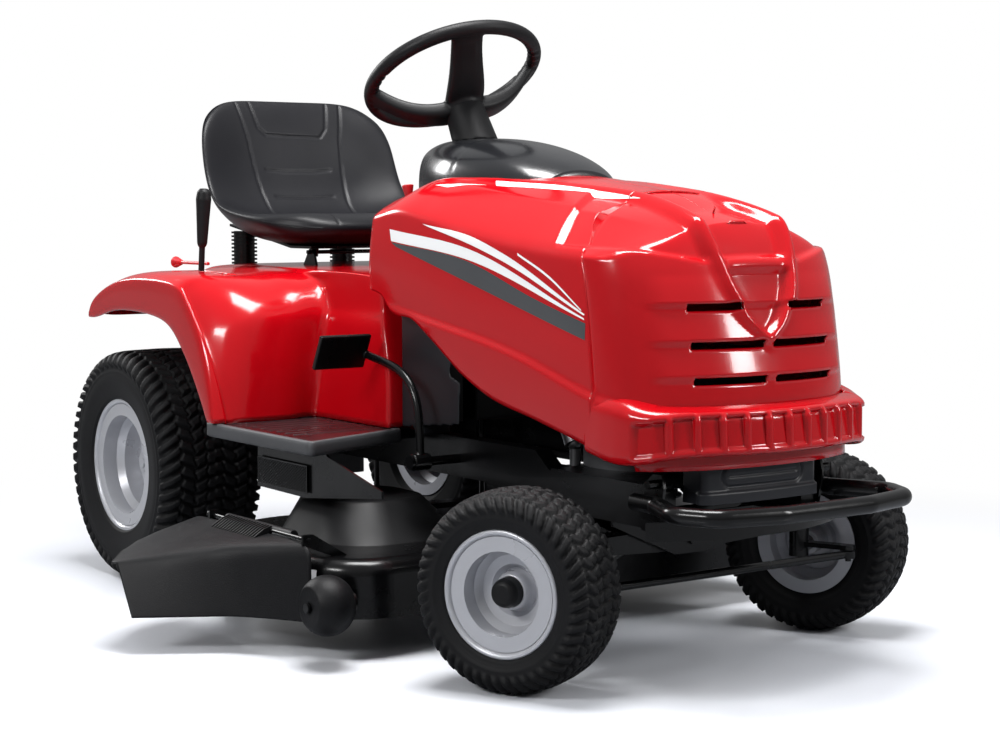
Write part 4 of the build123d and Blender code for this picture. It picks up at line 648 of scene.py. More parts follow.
rearBody = {
    "wall": 3.5,
    # rows run from the rear lip over the top and down to the foot: ahead, height
    "arch": [(-150, 517), (-128, 516), (-90, 522), (-40, 535), (20, 538), (80, 537), (140, 533),
             (188, 526), (222, 513), (248, 494), (268, 475), (288, 455), (306, 434), (340, 390),
             (370, 346)],
    "crease": [(-149, 532), (-144, 546), (-122, 562), (-70, 583), (0, 600), (100, 606),
               (190, 603), (238, 598), (264, 589), (290, 567), (312, 543), (334, 518), (352, 494),
               (386, 432), (403, 346)],
    "fender": [(-150, 520), (-149, 545), (-135, 570), (-80, 594), (0, 613), (110, 619), (215, 618),
               (285, 614), (326, 602), (356, 583), (378, 563), (392, 543), (399, 528), (410, 440),
               (412, 346)],
    "valley": [(-150, 520), (-149, 550), (-138, 580), (-90, 603), (-5, 618), (110, 622), (215, 621),
               (290, 618), (332, 609), (364, 594), (386, 570), (397, 547), (400, 532), (396, 440),
               (385, 346)],
    "shoulder": [(-150, 520), (-150, 560), (-147, 596), (-115, 616), (-15, 624), (110, 626),
                 (215, 624), (320, 622), (450, 620), (560, 618), (590, 604), (594, 548),
                 (606, 534), (642, 440), (648, 346)],
    "creaseSide": [447, 447, 447, 447, 447, 447, 447, 447, 447, 446, 446, 445, 444, 437, 427],
    "slot": (148, 268, 341, 359),  # the height lever's gap: ahead from and to, aside from and to
    "top": 595,  # height over which the sheet counts as its top
    # plan of the plain walls between the wheels, their foot and their top
    "skirt": [(392, -203), (-132, -203), (-148, -187), (-148, 187), (-132, 203), (392, 203)],
    "skirtFoot": 346, "skirtTop": 590,
}


# Uniform cubic B-spline through the first and last of the points, along the first axis.
def curve(points, steps):
    points = np.concatenate([2 * points[:1] - points[1:2], points,
                             2 * points[-1:] - points[-2:-1]])
    t = np.linspace(0, 1, steps, endpoint=False)
    weights = np.stack([(1 - t)**3, 3 * t**3 - 6 * t**2 + 4,
                        -3 * t**3 + 3 * t**2 + 3 * t + 1, t**3], axis=1) / 6
    spans = [np.tensordot(weights, points[k:k + 4], axes=(1, 0)) for k in range(len(points) - 3)]
    last = (points[-3:-2] + 4 * points[-2:-1] + points[-1:]) / 6
    return np.concatenate(spans + [last])


# Columns of the right half, from the arch over the wheel to the centreline.
def bodyCage():
    names = ("arch", "crease", "fender", "valley", "shoulder")
    arch, crease, fender, valley, shoulder = (np.array(rearBody[key], float) for key in names)
    rows = len(arch)
    top = (np.arange(rows) < 8)[:, None]
    creaseSide = np.array(rearBody["creaseSide"], float)[:, None]

    # a section's heights and places ahead, at one distance aside
    def column(section, side):
        side = np.broadcast_to(np.asarray(side, float).reshape(-1, 1), (rows, 1))
        return np.concatenate([section[:, :1], -side, section[:, 1:]], axis=1)

    between = lambda a, b, share: a + (b - a) * share
    wall = np.interp(shoulder[:, 1], (346, 440, 530, 546, 560), (226, 219, 213, 202, 201))
    columns = [
        column(arch + (0, 5), 441), column(arch, 446), column(between(arch, crease, 0.05), 449.5),
        column(between(arch, crease, 0.5), 450), column(between(arch, crease, 0.9), 449),
        column(crease, creaseSide),
        column(crease + (1, 1), creaseSide - np.where(top, 8, 2)),
        column(np.where(top, between(crease, fender, 0.75), crease + (-7, -5)),
               np.where(top, 424, creaseSide - 5)),
        column(np.where(top, fender, between(crease, fender, 0.3)),
               np.where(top, 395, creaseSide - 20)),
        column(np.where(top, fender, between(crease, fender, 0.85)), np.where(top, 372, 388)),
        column(fender, 350),
        column(fender + (2, 0), 312),
        column(between(fender, valley, 0.25), 280),
        column(between(fender, valley, 0.8), 258),
        column(between(valley, shoulder, 0.02), np.maximum(wall, np.where(top[:, 0], 240, 0)) + 8),
    ]
    for share, extra in ((0.08, 22), (0.25, 12), (0.5, 6), (0.75, 3), (0.94, 0)):
        columns.append(column(between(valley, shoulder, share),
                              wall + np.where(top[:, 0], extra, 0)))
    columns += [column(shoulder, wall), column(shoulder + (0, 1), wall - 12)]
    columns += [column(shoulder + (0, 2), side) for side in (150, 100, 50, 0)]
    return np.stack(columns, axis=1)


# Fenders and tunnel as one moulded sheet, with the height lever's slot cut through.
def addRearBody():
    cage = bodyCage()
    half = np.moveaxis(curve(np.moveaxis(curve(cage, 9), 1, 0), 6), 0, 1)
    points = np.concatenate([half, half[:, -2::-1] * (1, -1, 1)], axis=1)
    # lines of the grid move onto the edges of the slot
    low, high, near, far = rearBody["slot"]
    x, y = points[..., 0], points[..., 1]
    onTop = (points[..., 2] > rearBody["top"]) & (y < 0)
    for value, axis, other, start, end in ((low, 0, -y, near, far), (high, 0, -y, near, far),
                                           (-near, 1, x, low, high), (-far, 1, x, low, high)):
        place = points[..., axis]
        reach = 4.0 if axis else 8.0
        close = onTop & (np.abs(place - value) < reach) & (other > start - 6) & (other < end + 6)
        points[..., axis] = np.where(close, value, place)
    middle = (points[:-1, :-1] + points[1:, 1:] + points[:-1, 1:] + points[1:, :-1]) / 4
    holes = ((middle[..., 0] > low) & (middle[..., 0] < high) & (-middle[..., 1] > near)
             & (-middle[..., 1] < far) & (middle[..., 2] > rearBody["top"]))
    body = addGrid("rearBody", points[:, ::-1], "redEnamel", holes=holes[:, ::-1])
    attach(thicken(body, rearBody["wall"]), "chassis")
    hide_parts("rear_body")
    # plain walls of the tunnel between the wheels
    plan = roundProfile(rearBody["skirt"], 8.0, 4)
    levels = np.linspace(rearBody["skirtFoot"], rearBody["skirtTop"], 12)
    skirt = np.stack([np.column_stack([plan, np.full(len(plan), z)]) for z in levels], axis=0)
    skirt = addGrid("bodySkirt", skirt, "redEnamel")
    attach(thicken(skirt, rearBody["wall"]), "chassis")
    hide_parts("rear_body")


seatForm = {
    # middle line from the front of the cushion to the top of the back: ahead, height,
    # half thickness, how far the sides come forward, half width
    "middle": [(306, 700, 34, 6, 226), (240, 697, 33, 16, 236), (150, 689, 27, 30, 238),
               (66, 685, 23, 44, 238), (-4, 694, 23, 52, 237), (-50, 726, 24, 50, 235),
               (-82, 778, 24, 46, 234), (-101, 838, 23, 44, 232), (-112, 893, 22, 40, 229),
               (-120, 938, 20, 33, 225), (-123, 966, 16, 28, 221)],
    "rows": 216,
    "columns": 176,
    # seams on the front: lists of points, as a share of the way up and millimetres aside
    "seams": [
        [(0.0, -116), (0.05, -116), (0.13, -112)],
        [(0.0, 116), (0.05, 116), (0.13, 112)],
        [(1.0, -128), (0.86, -112), (0.62, -100), (0.5, -98)],
        [(1.0, 128), (0.86, 112), (0.62, 100), (0.5, 98)],
        [(1.0, -95), (0.9, -82), (0.875, -66), (0.868, 66), (0.9, 82), (1.0, 95)],
        [(0.745, -78), (0.738, -40), (0.738, 40), (0.745, 78)],
        [(0.63, -70), (0.626, -40), (0.626, 40), (0.63, 70)],
        [(0.1, -92), (0.085, -60), (0.085, 60), (0.1, 92)],
    ],
    "seamWidth": 2.3,
    "seamDepth": 3.4,
    "plate": (205, 664.6),  # half width and height of the flat underside on the seat's frame
}


# Depth of the sewn channels at places on the front of the seat.
def seamGroove(share, side, length):
    depth = np.zeros_like(share)
    for seam in seatForm["seams"]:
        line = np.array([(s * length, y) for s, y in seam])
        for start, end in zip(line[:-1], line[1:]):
            run = end - start
            at = np.stack([share * length, side], axis=-1) - start
            t = np.clip((at @ run) / (run @ run), 0, 1)
            away = np.linalg.norm(at - t[..., None] * run, axis=-1)
            depth = np.maximum(depth, np.exp(-(away / seatForm["seamWidth"]) ** 2))
    return depth * seatForm["seamDepth"]


# One padded shell: a dished cushion that runs up into the back, closed round its rim.
def addSeat():
    keys = np.array(seatForm["middle"], float)
    line = curve(keys, 24)
    run = np.concatenate([[0], np.cumsum(np.hypot(*np.diff(line[:, :2], axis=0).T))])
    length = run[-1]
    # rows and columns crowd towards the rim, where the thickness closes
    bunch = lambda count: np.sin(np.linspace(-1, 1, count) * pi / 2 * 0.94) / sin(pi / 2 * 0.94)
    a, b = np.meshgrid(bunch(seatForm["rows"]), bunch(seatForm["columns"]), indexing="ij")
    # the outline is a square whose corners are drawn in, more at the cushion than at the back
    up = a * np.sqrt(1 - np.where(a < 0, 0.34 * b**4, 0.20 * b**6))
    out = b * np.sqrt(1 - np.where(a < 0, 0.26 * np.abs(a)**5, 0.24 * np.abs(a)**9))
    share = (up + 1) / 2
    at = share * length
    x, z, thick, wing, half = (np.interp(at, run, line[:, k]) for k in range(5))
    dx, dz = (np.interp(at, run, np.gradient(line[:, k], run)) for k in (0, 1))
    size = np.hypot(dx, dz)
    normal = np.stack([dz / size, np.zeros_like(dx), -dx / size], axis=-1)
    side = out * half
    centre = np.stack([x, side, z], axis=-1)
    centre = centre + normal * (wing * np.abs(out)**3.4)[..., None]
    # full thickness inside, closing like the edge of a pillow at the rim
    rim = (np.abs(a)**14 + np.abs(b)**14) ** (1 / 14)
    full = np.sqrt(np.clip(1 - rim**5, 0, 1))
    crown = 1 + 0.10 * (1 - out**2)
    front = thick * full * crown
    # the cushion's wings are fuller, with a roll towards its front edge
    front = front + 5 * full * np.exp(-((share - 0.07) / 0.05)**2)
    front = front - seamGroove(share, side, length) * step(0.0, 0.5, full)
    back = thick * full * np.interp(share, (0, 0.42, 0.5, 1), (1, 1, 0.8, 0.6))
    upper = centre + normal * front[..., None]
    lower = centre - normal * back[..., None]
    # the underside of the cushion is flat where it sits on its plate
    plateHalf, plateTop = seatForm["plate"]
    lower[..., 2] = np.where((share < 0.42) & (np.abs(side) < plateHalf),
                             np.maximum(lower[..., 2], plateTop), lower[..., 2])
    ring = np.concatenate([upper, lower[:, ::-1][:, 1:-1]], axis=1)
    seat = addGrid("seatPad", ring, "seatVinyl", wrapColumns=True)
    bm = bmesh.new()
    bm.from_mesh(seat.data)
    bmesh.ops.remove_doubles(bm, verts=bm.verts, dist=0.0002)
    openEdges = [edge for edge in bm.edges if edge.is_boundary]
    if openEdges:
        bmesh.ops.holes_fill(bm, edges=openEdges, sides=0)
    bmesh.ops.recalc_face_normals(bm, faces=bm.faces)
    bm.to_mesh(seat.data)
    bm.free()
    seat.data.polygons.foreach_set("use_smooth", [True] * len(seat.data.polygons))
    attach(seat, "seat")
    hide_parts("seat")


softened = {
    # node: size of the skin's squares, turns of smoothing, material
    "column_cover": (2.6, 4, "blackMoulding"),
    "console": (3.6, 3, "greyPanel"),
    "gauge_wheel_right": (2.0, 6, "roughMoulding"),
    "gauge_wheel_left": (2.0, 6, "roughMoulding"),
    "running_boards": (3.0, 1, "boardMoulding"),
    "height_lever": (1.8, 3, "blackMoulding"),
    "throttle_lever": (1.6, 2, "redMoulding"),
    "release_knob": (1.4, 2, "redMoulding"),
    "hub_cap_right": (1.8, 2, "blackMoulding"),
    "hub_cap_left": (1.8, 2, "blackMoulding"),
}


# A moulded piece with the rounded edges of its tool: the node's form, remeshed and relaxed.
def addSoftened(node, voxel, turns, material):
    source = nodes[node]
    mesh = source.data.copy()
    obj = bpy.data.objects.new(node.replace("_", " ").title().replace(" ", "") + "Moulded", mesh)
    bpy.context.scene.collection.objects.link(obj)
    obj.matrix_world = source.matrix_world
    bm = bmesh.new()
    bm.from_mesh(mesh)
    bmesh.ops.remove_doubles(bm, verts=bm.verts, dist=0.00002)
    bm.to_mesh(mesh)
    bm.free()
    settle(obj, voxel, turns, material)
    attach(obj, bodyOf[node])
    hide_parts(node)


addRearBody()
print("rear body")
addSeat()
print("seat")
for node, values in softened.items():
    if node in nodes:
        addSoftened(node, *values)
print("mouldings")


steering = {
    "centre": (523.6, 0, 988.6), "tilt": 30, "turn": -20,
    "radius": 160, "tube": 14,
    # along a limb: out from the axis, height over the rim's plane, half width, half thickness
    "spoke": [(0, -66, 36, 13), (42, -60, 37, 13), (78, -42, 33, 10), (112, -20, 30, 8),
              (150, -3, 30, 9), (160, 0, 32, 9)],
    "arm": [(0, -72, 24, 17), (30, -76, 26, 17), (70, -70, 25, 15), (112, -46, 22, 12),
            (143, -14, 22, 11), (158, 0, 30, 11), (160, 0, 30, 11)],
    "arms": (100, -100),
    "panel": [(52, -64, 19, 3), (62, -59, 20, 3), (84, -47, 20, 3), (106, -31, 19, 3),
              (134, -18, 18, 3), (140, -14.5, 17, 3)],
    # out from the axis, height over the rim's plane
    "hub": [(0, -86), (28, -86), (38, -80), (40, -70), (38, -58), (30, -50), (0, -47)],
    "gripDepth": 2.6, "grips": 52,
    "rimRows": 220, "rimColumns": 26,
    "voxel": 2.6,
}


# Directions of the steering wheel: outward at an angle, sideways from that, and up.
def wheelFrame(turn):
    tilt, angle = radians(steering["tilt"]), radians(turn)
    axis = np.array([-sin(tilt), 0, cos(tilt)])
    ahead = np.array([cos(tilt), 0, sin(tilt)])
    left = np.array([0, 1.0, 0])
    return ahead * cos(angle) + left * sin(angle), left * cos(angle) - ahead * sin(angle), axis


# A blade from the hub out to the rim, its section a soft rectangle.
def limb(keys, turn):
    out, side, axis = wheelFrame(turn)
    line = curve(np.array(keys, float), 8)
    around = circle(28)
    soft = lambda value: np.sign(value) * np.abs(value) ** 0.55
    ring = np.stack([soft(np.cos(around)), soft(np.sin(around))], axis=1)
    slope = np.gradient(line[:, 1]) / np.maximum(np.gradient(line[:, 0]), 1e-6)
    up = (axis - out * slope[:, None]) / np.sqrt(1 + slope**2)[:, None]
    middle = np.array(steering["centre"]) + out * line[:, :1] + axis * line[:, 1:2]
    return (middle[:, None] + side * (ring[:, 0] * line[:, 2:3])[..., None]
            + up[:, None] * (ring[:, 1] * line[:, 3:4])[..., None])


# Points and faces of a tube of rings, closed with one face at each end.
def capped(points):
    rows, columns = points.shape[:2]
    flat = points.reshape(-1, 3)
    index = np.arange(rows * columns).reshape(rows, columns)
    nextColumn = np.roll(index, -1, axis=1)
    faces = np.stack([index[:-1], nextColumn[:-1], nextColumn[1:], index[1:]],
                     axis=-1).reshape(-1, 4).tolist()
    faces += [index[0][::-1].tolist(), index[-1].tolist()]
    return flat, faces


# Several closed forms fused into one moulding with soft joins.
def addFused(name, parts, voxel, turns, material):
    points, faces, start = [], [], 0
    for flat, part in parts:
        points.append(flat)
        faces += [[k + start for k in face] for face in part]
        start += len(flat)
    obj = addObject(name, np.concatenate(points), faces, material)
    settle(obj, voxel, turns, material)
    return obj


# Rim with finger grips at both sides, a broad spoke with a raised panel and two arms.
def addSteeringWheel():
    out, side, axis = wheelFrame(steering["turn"])
    centre = np.array(steering["centre"])
    rows, columns = steering["rimRows"], steering["rimColumns"]
    angle, around = circle(rows), circle(columns)
    grip = (step(cos(radians(62)), cos(radians(70)), np.abs(np.cos(angle)))
            * (0.5 + 0.5 * np.cos(angle * steering["grips"])))
    tube = (steering["tube"] - 0.4
            - steering["gripDepth"] * grip[:, None] * (np.cos(around)[None, :] < 0.4))
    reach = steering["radius"] + tube * np.cos(around)
    spoke = out * np.cos(angle)[:, None] + side * np.sin(angle)[:, None]
    rim = centre + spoke[:, None] * reach[..., None] + axis * (tube * np.sin(around))[..., None]
    index = np.arange(rows * columns).reshape(rows, columns)
    rimFaces = np.stack([index, np.roll(index, -1, 0), np.roll(np.roll(index, -1, 0), -1, 1),
                         np.roll(index, -1, 1)], axis=-1).reshape(-1, 4).tolist()
    hub = roundProfile(steering["hub"], 3.0, 3)
    turned = circle(48)
    spokes = out * np.cos(turned)[:, None] + side * np.sin(turned)[:, None]
    hub = (centre + spokes[None] * np.maximum(hub[:, :1], 0.5)[..., None]
           + axis * hub[:, 1:2][..., None])
    parts = [(rim.reshape(-1, 3), rimFaces), capped(hub)]
    parts.append(capped(limb(steering["spoke"], steering["turn"])))
    parts += [capped(limb(steering["arm"], steering["turn"] + turn))
              for turn in steering["arms"]]
    parts.append(capped(limb(steering["panel"], steering["turn"])))
    wheel = addFused("steeringWheel", parts, steering["voxel"], 3, "blackMoulding")
    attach(wheel, "steering")
    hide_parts("steering_wheel")


addSteeringWheel()
print("steering wheel")


flap = {
    "near": -512, "far": -734, "hinge": -500,  # aside: inner edge, outer edge and hinge pin
    "front": [(862, -512), (815, -536), (742, -588), (652, -734)],  # foot of the front wall
    "rear": [(-512, 440), (-600, 462), (-646, 484), (-700, 540), (-734, 580)],  # aside, ahead
    "low": 62.5,
    "fall": 0.2,  # of the top, per millimetre outward
    "lean": 87,  # of the front wall's outer end
    "hem": 22,  # depth of the turned edge at the rear
    "wall": 2.6,
    "drop": 9,  # of the hinge pin below the top of the flap
    "sleeve": 8.8,
    # ribs between sleeve and sheet: aside, height over the pin
    "comb": [(-497, 6), (-506, 8.5), (-520, 4), (-540, -8.5), (-540, -12), (-504, -6)],
    "combFrom": 566, "combTo": 726, "combPitch": 9.5, "combHalf": 1.3,
}


# The chute's flap: one rounded sheet over front, top and back, hung on a ribbed sleeve.
def addDeflector():
    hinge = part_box("deflector")[1].z * 1000 - flap["drop"]
    front = np.array(flap["front"], float)
    side = np.linspace(flap["near"], flap["far"], 72)
    share = (side - flap["near"]) / (flap["far"] - flap["near"])
    foot = average(np.interp(-side, -front[:, 1], front[:, 0]), 30)
    top = hinge - 1 - flap["fall"] * (flap["hinge"] - side)
    lean = flap["lean"] * share * (top - flap["low"]) / (hinge - flap["low"])
    rear = np.array(flap["rear"], float)
    back = np.interp(-side, -rear[:, 0], rear[:, 1])
    columns = []
    for k, y in enumerate(side):
        drop = 1.5 + flap["hem"] * float(step(-700, -620, y))
        corners = np.array([(foot[k], y, flap["low"]), (foot[k] - lean[k], y, top[k]),
                            (back[k], y, top[k] - 2), (back[k] - 3, y, top[k] - drop)])
        run = np.concatenate([[0], np.cumsum(np.linalg.norm(np.diff(corners, axis=0), axis=1))])
        at = np.concatenate([np.linspace(0, run[1], 34)[:-1], np.linspace(run[1], run[2], 50)[:-1],
                             np.linspace(run[2], run[3], 10)])
        line = np.stack([np.interp(at, run, corners[:, i]) for i in range(3)], axis=1)
        columns.append(average(line, 30))
    points = np.stack(columns, axis=1)
    sheet = addGrid("deflectorSheet", points[:, ::-1], "roughMoulding")
    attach(thicken(sheet, flap["wall"]), "deflector")
    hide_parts("deflector")
    # sleeve on the hinge pin, with a comb of ribs down to the sheet
    around = circle(24)
    ahead = np.linspace(flap["combFrom"] - 12, flap["combTo"] + 60, 40)[:, None]
    tube = np.stack([ahead + 0 * around,
                     flap["hinge"] + flap["sleeve"] * np.cos(around) + 0 * ahead,
                     hinge + flap["sleeve"] * np.sin(around) + 0 * ahead], axis=-1)
    flat, faces = capped(tube)
    points, start = [flat], len(flat)
    for x in np.arange(flap["combFrom"], flap["combTo"] + 1, flap["combPitch"]):
        ring = np.array([[(x + shift, y, hinge + z) for y, z in flap["comb"]]
                         for shift in (-flap["combHalf"], flap["combHalf"])])
        flatRib, ribFaces = capped(ring)
        points.append(flatRib)
        faces += [[k + start for k in face] for face in ribFaces]
        start += len(flatRib)
    comb = addObject("deflectorHinge", np.concatenate(points), faces, "roughMoulding", False)
    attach(comb, "deflector")
    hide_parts("deflector")


addDeflector()
print("deflector")


guard = {
    "half": 121, "front": 1394, "bow": 9, "back": 1336, "top": 361, "foot": 286,
    # height of each groove's middle, its half length, its half height and its width
    "ring": (328, 84, 17, 2.6), "bar": (328, 70, 2.4), "grooveDepth": 3.6,
    "band": (304, 5),  # height of the fuller band's top and how far it stands out
    "wall": 2.5,
}


# A pressed guard with a bowed face, a long ring pressed into it and a fuller lower band.
def addGuard():
    plan = [(guard["back"], -guard["half"]), (guard["front"] - 14, -guard["half"])]
    across = np.linspace(-guard["half"] + 8, guard["half"] - 8, 40)
    plan += [(guard["front"] - guard["bow"] * (y / guard["half"]) ** 2, y) for y in across]
    plan += [(guard["front"] - 14, guard["half"]), (guard["back"], guard["half"])]
    plan = roundProfile(plan, 1.8, 8)
    z = np.linspace(guard["foot"], guard["top"], 46)
    level, ringHalf, ringHigh, ringWide = guard["ring"]
    y = plan[None, :, 1]
    up = z[:, None]
    face = step(guard["front"] - 30, guard["front"] - 16, plan[None, :, 0])
    straight = ringHalf - ringHigh
    away = np.abs(np.hypot(np.maximum(np.abs(y) - straight, 0), up - level) - ringHigh)
    groove = np.exp(-(away / ringWide) ** 2)
    level, barHalf, barWide = guard["bar"]
    away = np.hypot(np.maximum(np.abs(y) - barHalf, 0), up - level)
    groove = np.maximum(groove, 0.8 * np.exp(-(away / barWide) ** 2))
    high, depth = guard["band"]
    proud = depth * (1 - step(high - 3, high + 3, up)) * (0.2 + 0.8 * face)
    shift = face * (-guard["grooveDepth"] * groove) + proud - 2.0
    obj = addGrid("mufflerGuard", carry(plan, shift, up), "greyPanel")
    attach(thicken(obj, guard["wall"]), "chassis")
    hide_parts("muffler_guard")


boardEdge = {
    # plan of the left board's outer edge
    "plan": [(354, 430), (354, 440), (742, 440), (736, 424), (652, 202), (620, 202)],
    # section of the band: out from that edge, height
    "section": [(-6, 344.8), (0.5, 344.6), (2.4, 342), (3, 336), (3, 326), (2, 320.5),
                (-1, 318.6), (-6, 318.4)],
    "wall": 1.5,
}


# Grey rounded bands round the running boards: one section carried along each plan.
def addBoardEdges():
    plan = roundProfile(boardEdge["plan"], 3.0, 16)
    out, height = np.hsplit(np.array(boardEdge["section"]), 2)
    band = carry(plan, np.repeat(-out, len(plan), axis=1), height)
    for name, side in (("Right", -1), ("Left", 1)):
        points = band * (1, side, 1)
        points = points if side < 0 else points[:, ::-1]
        edge = addGrid("boardEdge" + name, points[::-1], "greyMoulding")
        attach(thicken(edge, boardEdge["wall"]), "chassis")


addGuard()
addBoardEdges()
print("guard and boards")


dome = {
    # ahead, half width, height over the foot, fullness of the section
    "rows": [(428, 8, 24, 2.0), (430, 14, 48, 2.4), (440, 24, 66, 2.6), (468, 42, 76, 2.6),
             (505, 62, 84, 2.6), (545, 84, 89, 2.6), (590, 106, 91, 2.6), (645, 122, 91, 2.6),
             (700, 129, 90, 2.5), (770, 128, 82, 2.4), (840, 118, 66, 2.3), (896, 98, 44, 2.2),
             (922, 74, 28, 2.0)],
    "foot": 776, "skirt": 728,
    "seam": (690, 2.2, 2.0, 0.10),  # ahead, width, depth and how far it runs ahead per side
    "wall": 2.5,
}


# A low cover behind the hood: steep at the rear, flat on top and falling to the front.
def addDome():
    rows = curve(np.array(dome["rows"], float), 10)
    angle = np.linspace(0, pi, 97)
    across, up = np.cos(angle), np.sin(angle)
    power = 2 / rows[:, 3:4]
    y = rows[:, 1:2] * np.sign(across) * np.abs(across) ** power
    z = dome["foot"] + rows[:, 2:3] * up ** power
    x = rows[:, :1] + 0 * y
    ahead, width, depth, sweep = dome["seam"]
    seam = np.exp(-((x - ahead - sweep * np.abs(y)) / width) ** 2)
    z = z - depth * seam * (up > 0.25)
    points = np.stack([x, y, z], axis=-1)
    low = points[:, [0, -1]].copy()
    low[..., 2] = dome["skirt"]
    points = np.concatenate([low[:, :1], points, low[:, 1:]], axis=1)
    ends = []
    for row in (0, -1):
        end = points[row].copy()
        end[:, 1] *= 0.3
        end[:, 2] = np.minimum(end[:, 2], dome["foot"] + 0.25 * (end[:, 2] - dome["foot"]))
        ends.append(end)
    points = np.concatenate([ends[0][None], points, ends[1][None]])
    obj = addGrid("dashDome", points, "glossMoulding")
    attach(thicken(obj, dome["wall"]), "chassis")
    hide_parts("dash_dome")


addDome()
print("dome")


guardMesh = {
    "from": 483, "to": 662, "low": 243, "high": 293,
    "face": 401.6,  # aside of the ground between the wires: a closed dark sheet that fills the mesh's openings as painted shade
    "pitch": 9.0, "slant": 1.6, "wire": 1.5, "depth": 1.8, "border": 3, "wall": 1.0,
}


# Height of one family of slanted wires: a bell over the distance from the nearest wire.
def wires(x, z, way):
    phase = ((x + way * guardMesh["slant"] * z) / guardMesh["pitch"]) % 1.0
    away = np.minimum(phase, 1 - phase) * guardMesh["pitch"]
    return np.exp(-((away / guardMesh["wire"]) ** 2))


# Pressed diamond mesh: two families of slanted wires in a border, raised from a closed black
# ground. The ground fills the openings and stands in for the shade seen through them: painted
# shade.
def addGuardMesh():
    low, high, depth = guardMesh["low"], guardMesh["high"], guardMesh["depth"]
    x = np.linspace(guardMesh["from"], guardMesh["to"], 220)[None, :]
    z = np.linspace(low, high, 66)[:, None]
    # between the wires the sheet stays shut at the face, so its black ground is painted shade where
    # the real mesh is open
    rise = depth * np.maximum(wires(x, z, 1), wires(x, z, -1))
    inside = np.minimum(np.minimum(x - guardMesh["from"], guardMesh["to"] - x),
                        np.minimum(z - low, high - z))
    rise = np.where(inside < guardMesh["border"], depth, rise)
    for name, side in (("Right", -1), ("Left", 1)):
        y = side * (guardMesh["face"] + rise)
        points = np.stack([x + 0 * z, y, z + 0 * x], axis=-1)
        points = points if side < 0 else points[:, ::-1]
        obj = addGrid("guardMesh" + name, points, "blackEnamel")
        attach(thicken(obj, guardMesh["wall"]), "chassis")


addGuardMesh()
print("guard mesh")


pedal = {
    # in side view: course of the rod, corners of the pad's section
    "arm": [(600, 477.5), (640, 471), (700, 462), (748, 442), (774, 404), (781, 360), (781, 302)],
    "y": -245, "radius": 7.4, "pad": [(588, 456), (596, 452), (626, 512), (618, 516)],
    "padFrom": -246, "padTo": -349,
    "boss": (781, 300, 14.8, -262, -228),  # ahead, height, radius, aside from and to
    "voxel": 1.8,
}


# A bent rod with a flat pad at its end and a boss on its pin.
def addPedal():
    line = curve(np.array(pedal["arm"], float), 12)
    tangent = np.gradient(line, axis=0)
    tangent /= np.linalg.norm(tangent, axis=1, keepdims=True)
    around = circle(24)
    r = pedal["radius"]
    tube = np.stack([line[:, :1] - tangent[:, 1:] * r * np.cos(around),
                     pedal["y"] + r * np.sin(around)[None, :] + 0 * line[:, :1],
                     line[:, 1:] + tangent[:, :1] * r * np.cos(around)], axis=-1)
    ring = np.array(pedal["pad"], float)
    pad = np.array([[(x, y, z) for x, z in ring] for y in (pedal["padFrom"], pedal["padTo"])])
    x, z, r, low, high = pedal["boss"]
    boss = np.stack([np.broadcast_to(x + r * np.cos(around), (2, 24)),
                     np.array([[low], [high]]) + 0 * around,
                     np.broadcast_to(z + r * np.sin(around), (2, 24))], axis=-1)
    obj = addFused("drivePedal", [capped(tube), capped(pad), capped(boss)], pedal["voxel"], 2,
                   "blackEnamel")
    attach(obj, "drive_pedal")
    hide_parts("drive_pedal")


addPedal()
print("pedal")


lip = {
    # plan of the lip's outer edge on the right, then the arc round the front
    "side": [(1250, -243), (1290, -245), (1325, -244), (1352, -239), (1376, -227)],
    "centre": 1031.7, "radius": 418.3, "arcHalf": 222,
    "top": [(1250, 458), (1320, 454), (1380, 441), (1450, 437)],
    # down the section: distance in from the edge, height over the lip's foot
    "section": [(34, 80), (20, 77), (8, 72), (2, 66), (0, 60), (0, 54), (0, 46), (0, 38), (0, 30),
                (0, 22), (0, 16), (0, 10), (0, 5), (1, 1), (5, -1), (12, -1)],
    "foot": [(1250, 366), (1330, 355), (1376, 360), (1410, 368), (1450, 370)],
    "pitch": 40, "rib": 2.0, "pocket": 9,
    "plain": (1352, 1362),  # ahead, from where the pockets begin
    "wall": 3,
}


# The band under the nose: a rolled top edge over pockets that ribs divide.
def addLip():
    start = np.arcsin(lip["arcHalf"] / lip["radius"])
    arc = np.linspace(-start, start, 260)
    plan = np.column_stack([lip["centre"] + lip["radius"] * np.cos(arc),
                            lip["radius"] * np.sin(arc)])
    side = np.array(lip["side"], float)
    plan = np.vstack([side, plan, side[::-1] * (1, -1)])
    plan = roundProfile(plan, 2.2, 12)
    section = roundProfile(lip["section"], 3.2, 2)
    top = ease(lip["top"], plan[:, 0])
    foot = ease(lip["foot"], plan[:, 0])
    share = section[:, 1] / 80
    z = foot[None, :] + share[:, None] * (top - foot)[None, :]
    inward = np.repeat(section[:, :1], len(plan), axis=1)
    # pockets between the ribs, open below the rolled edge
    aside = np.abs((plan[:, 1] + lip["pitch"] / 2) % lip["pitch"] - lip["pitch"] / 2)
    rib = step(lip["rib"] + 2.0, lip["rib"], aside)
    rib = np.maximum(rib, step(*lip["plain"][::-1], plan[:, 0]))
    level = z - foot[None, :]
    deep = step(5, 9, level) * step(60, 55, level)
    slope = np.interp(level, (5, 56), (0.55, 1.25))
    inward = inward + lip["pocket"] * deep * slope * (1 - rib)[None, :]
    obj = addGrid("noseLip", carry(plan, -inward, z), "redEnamel")
    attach(thicken(obj, lip["wall"]), "hood")
    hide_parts("hood_nose")


addLip()
print("lip")


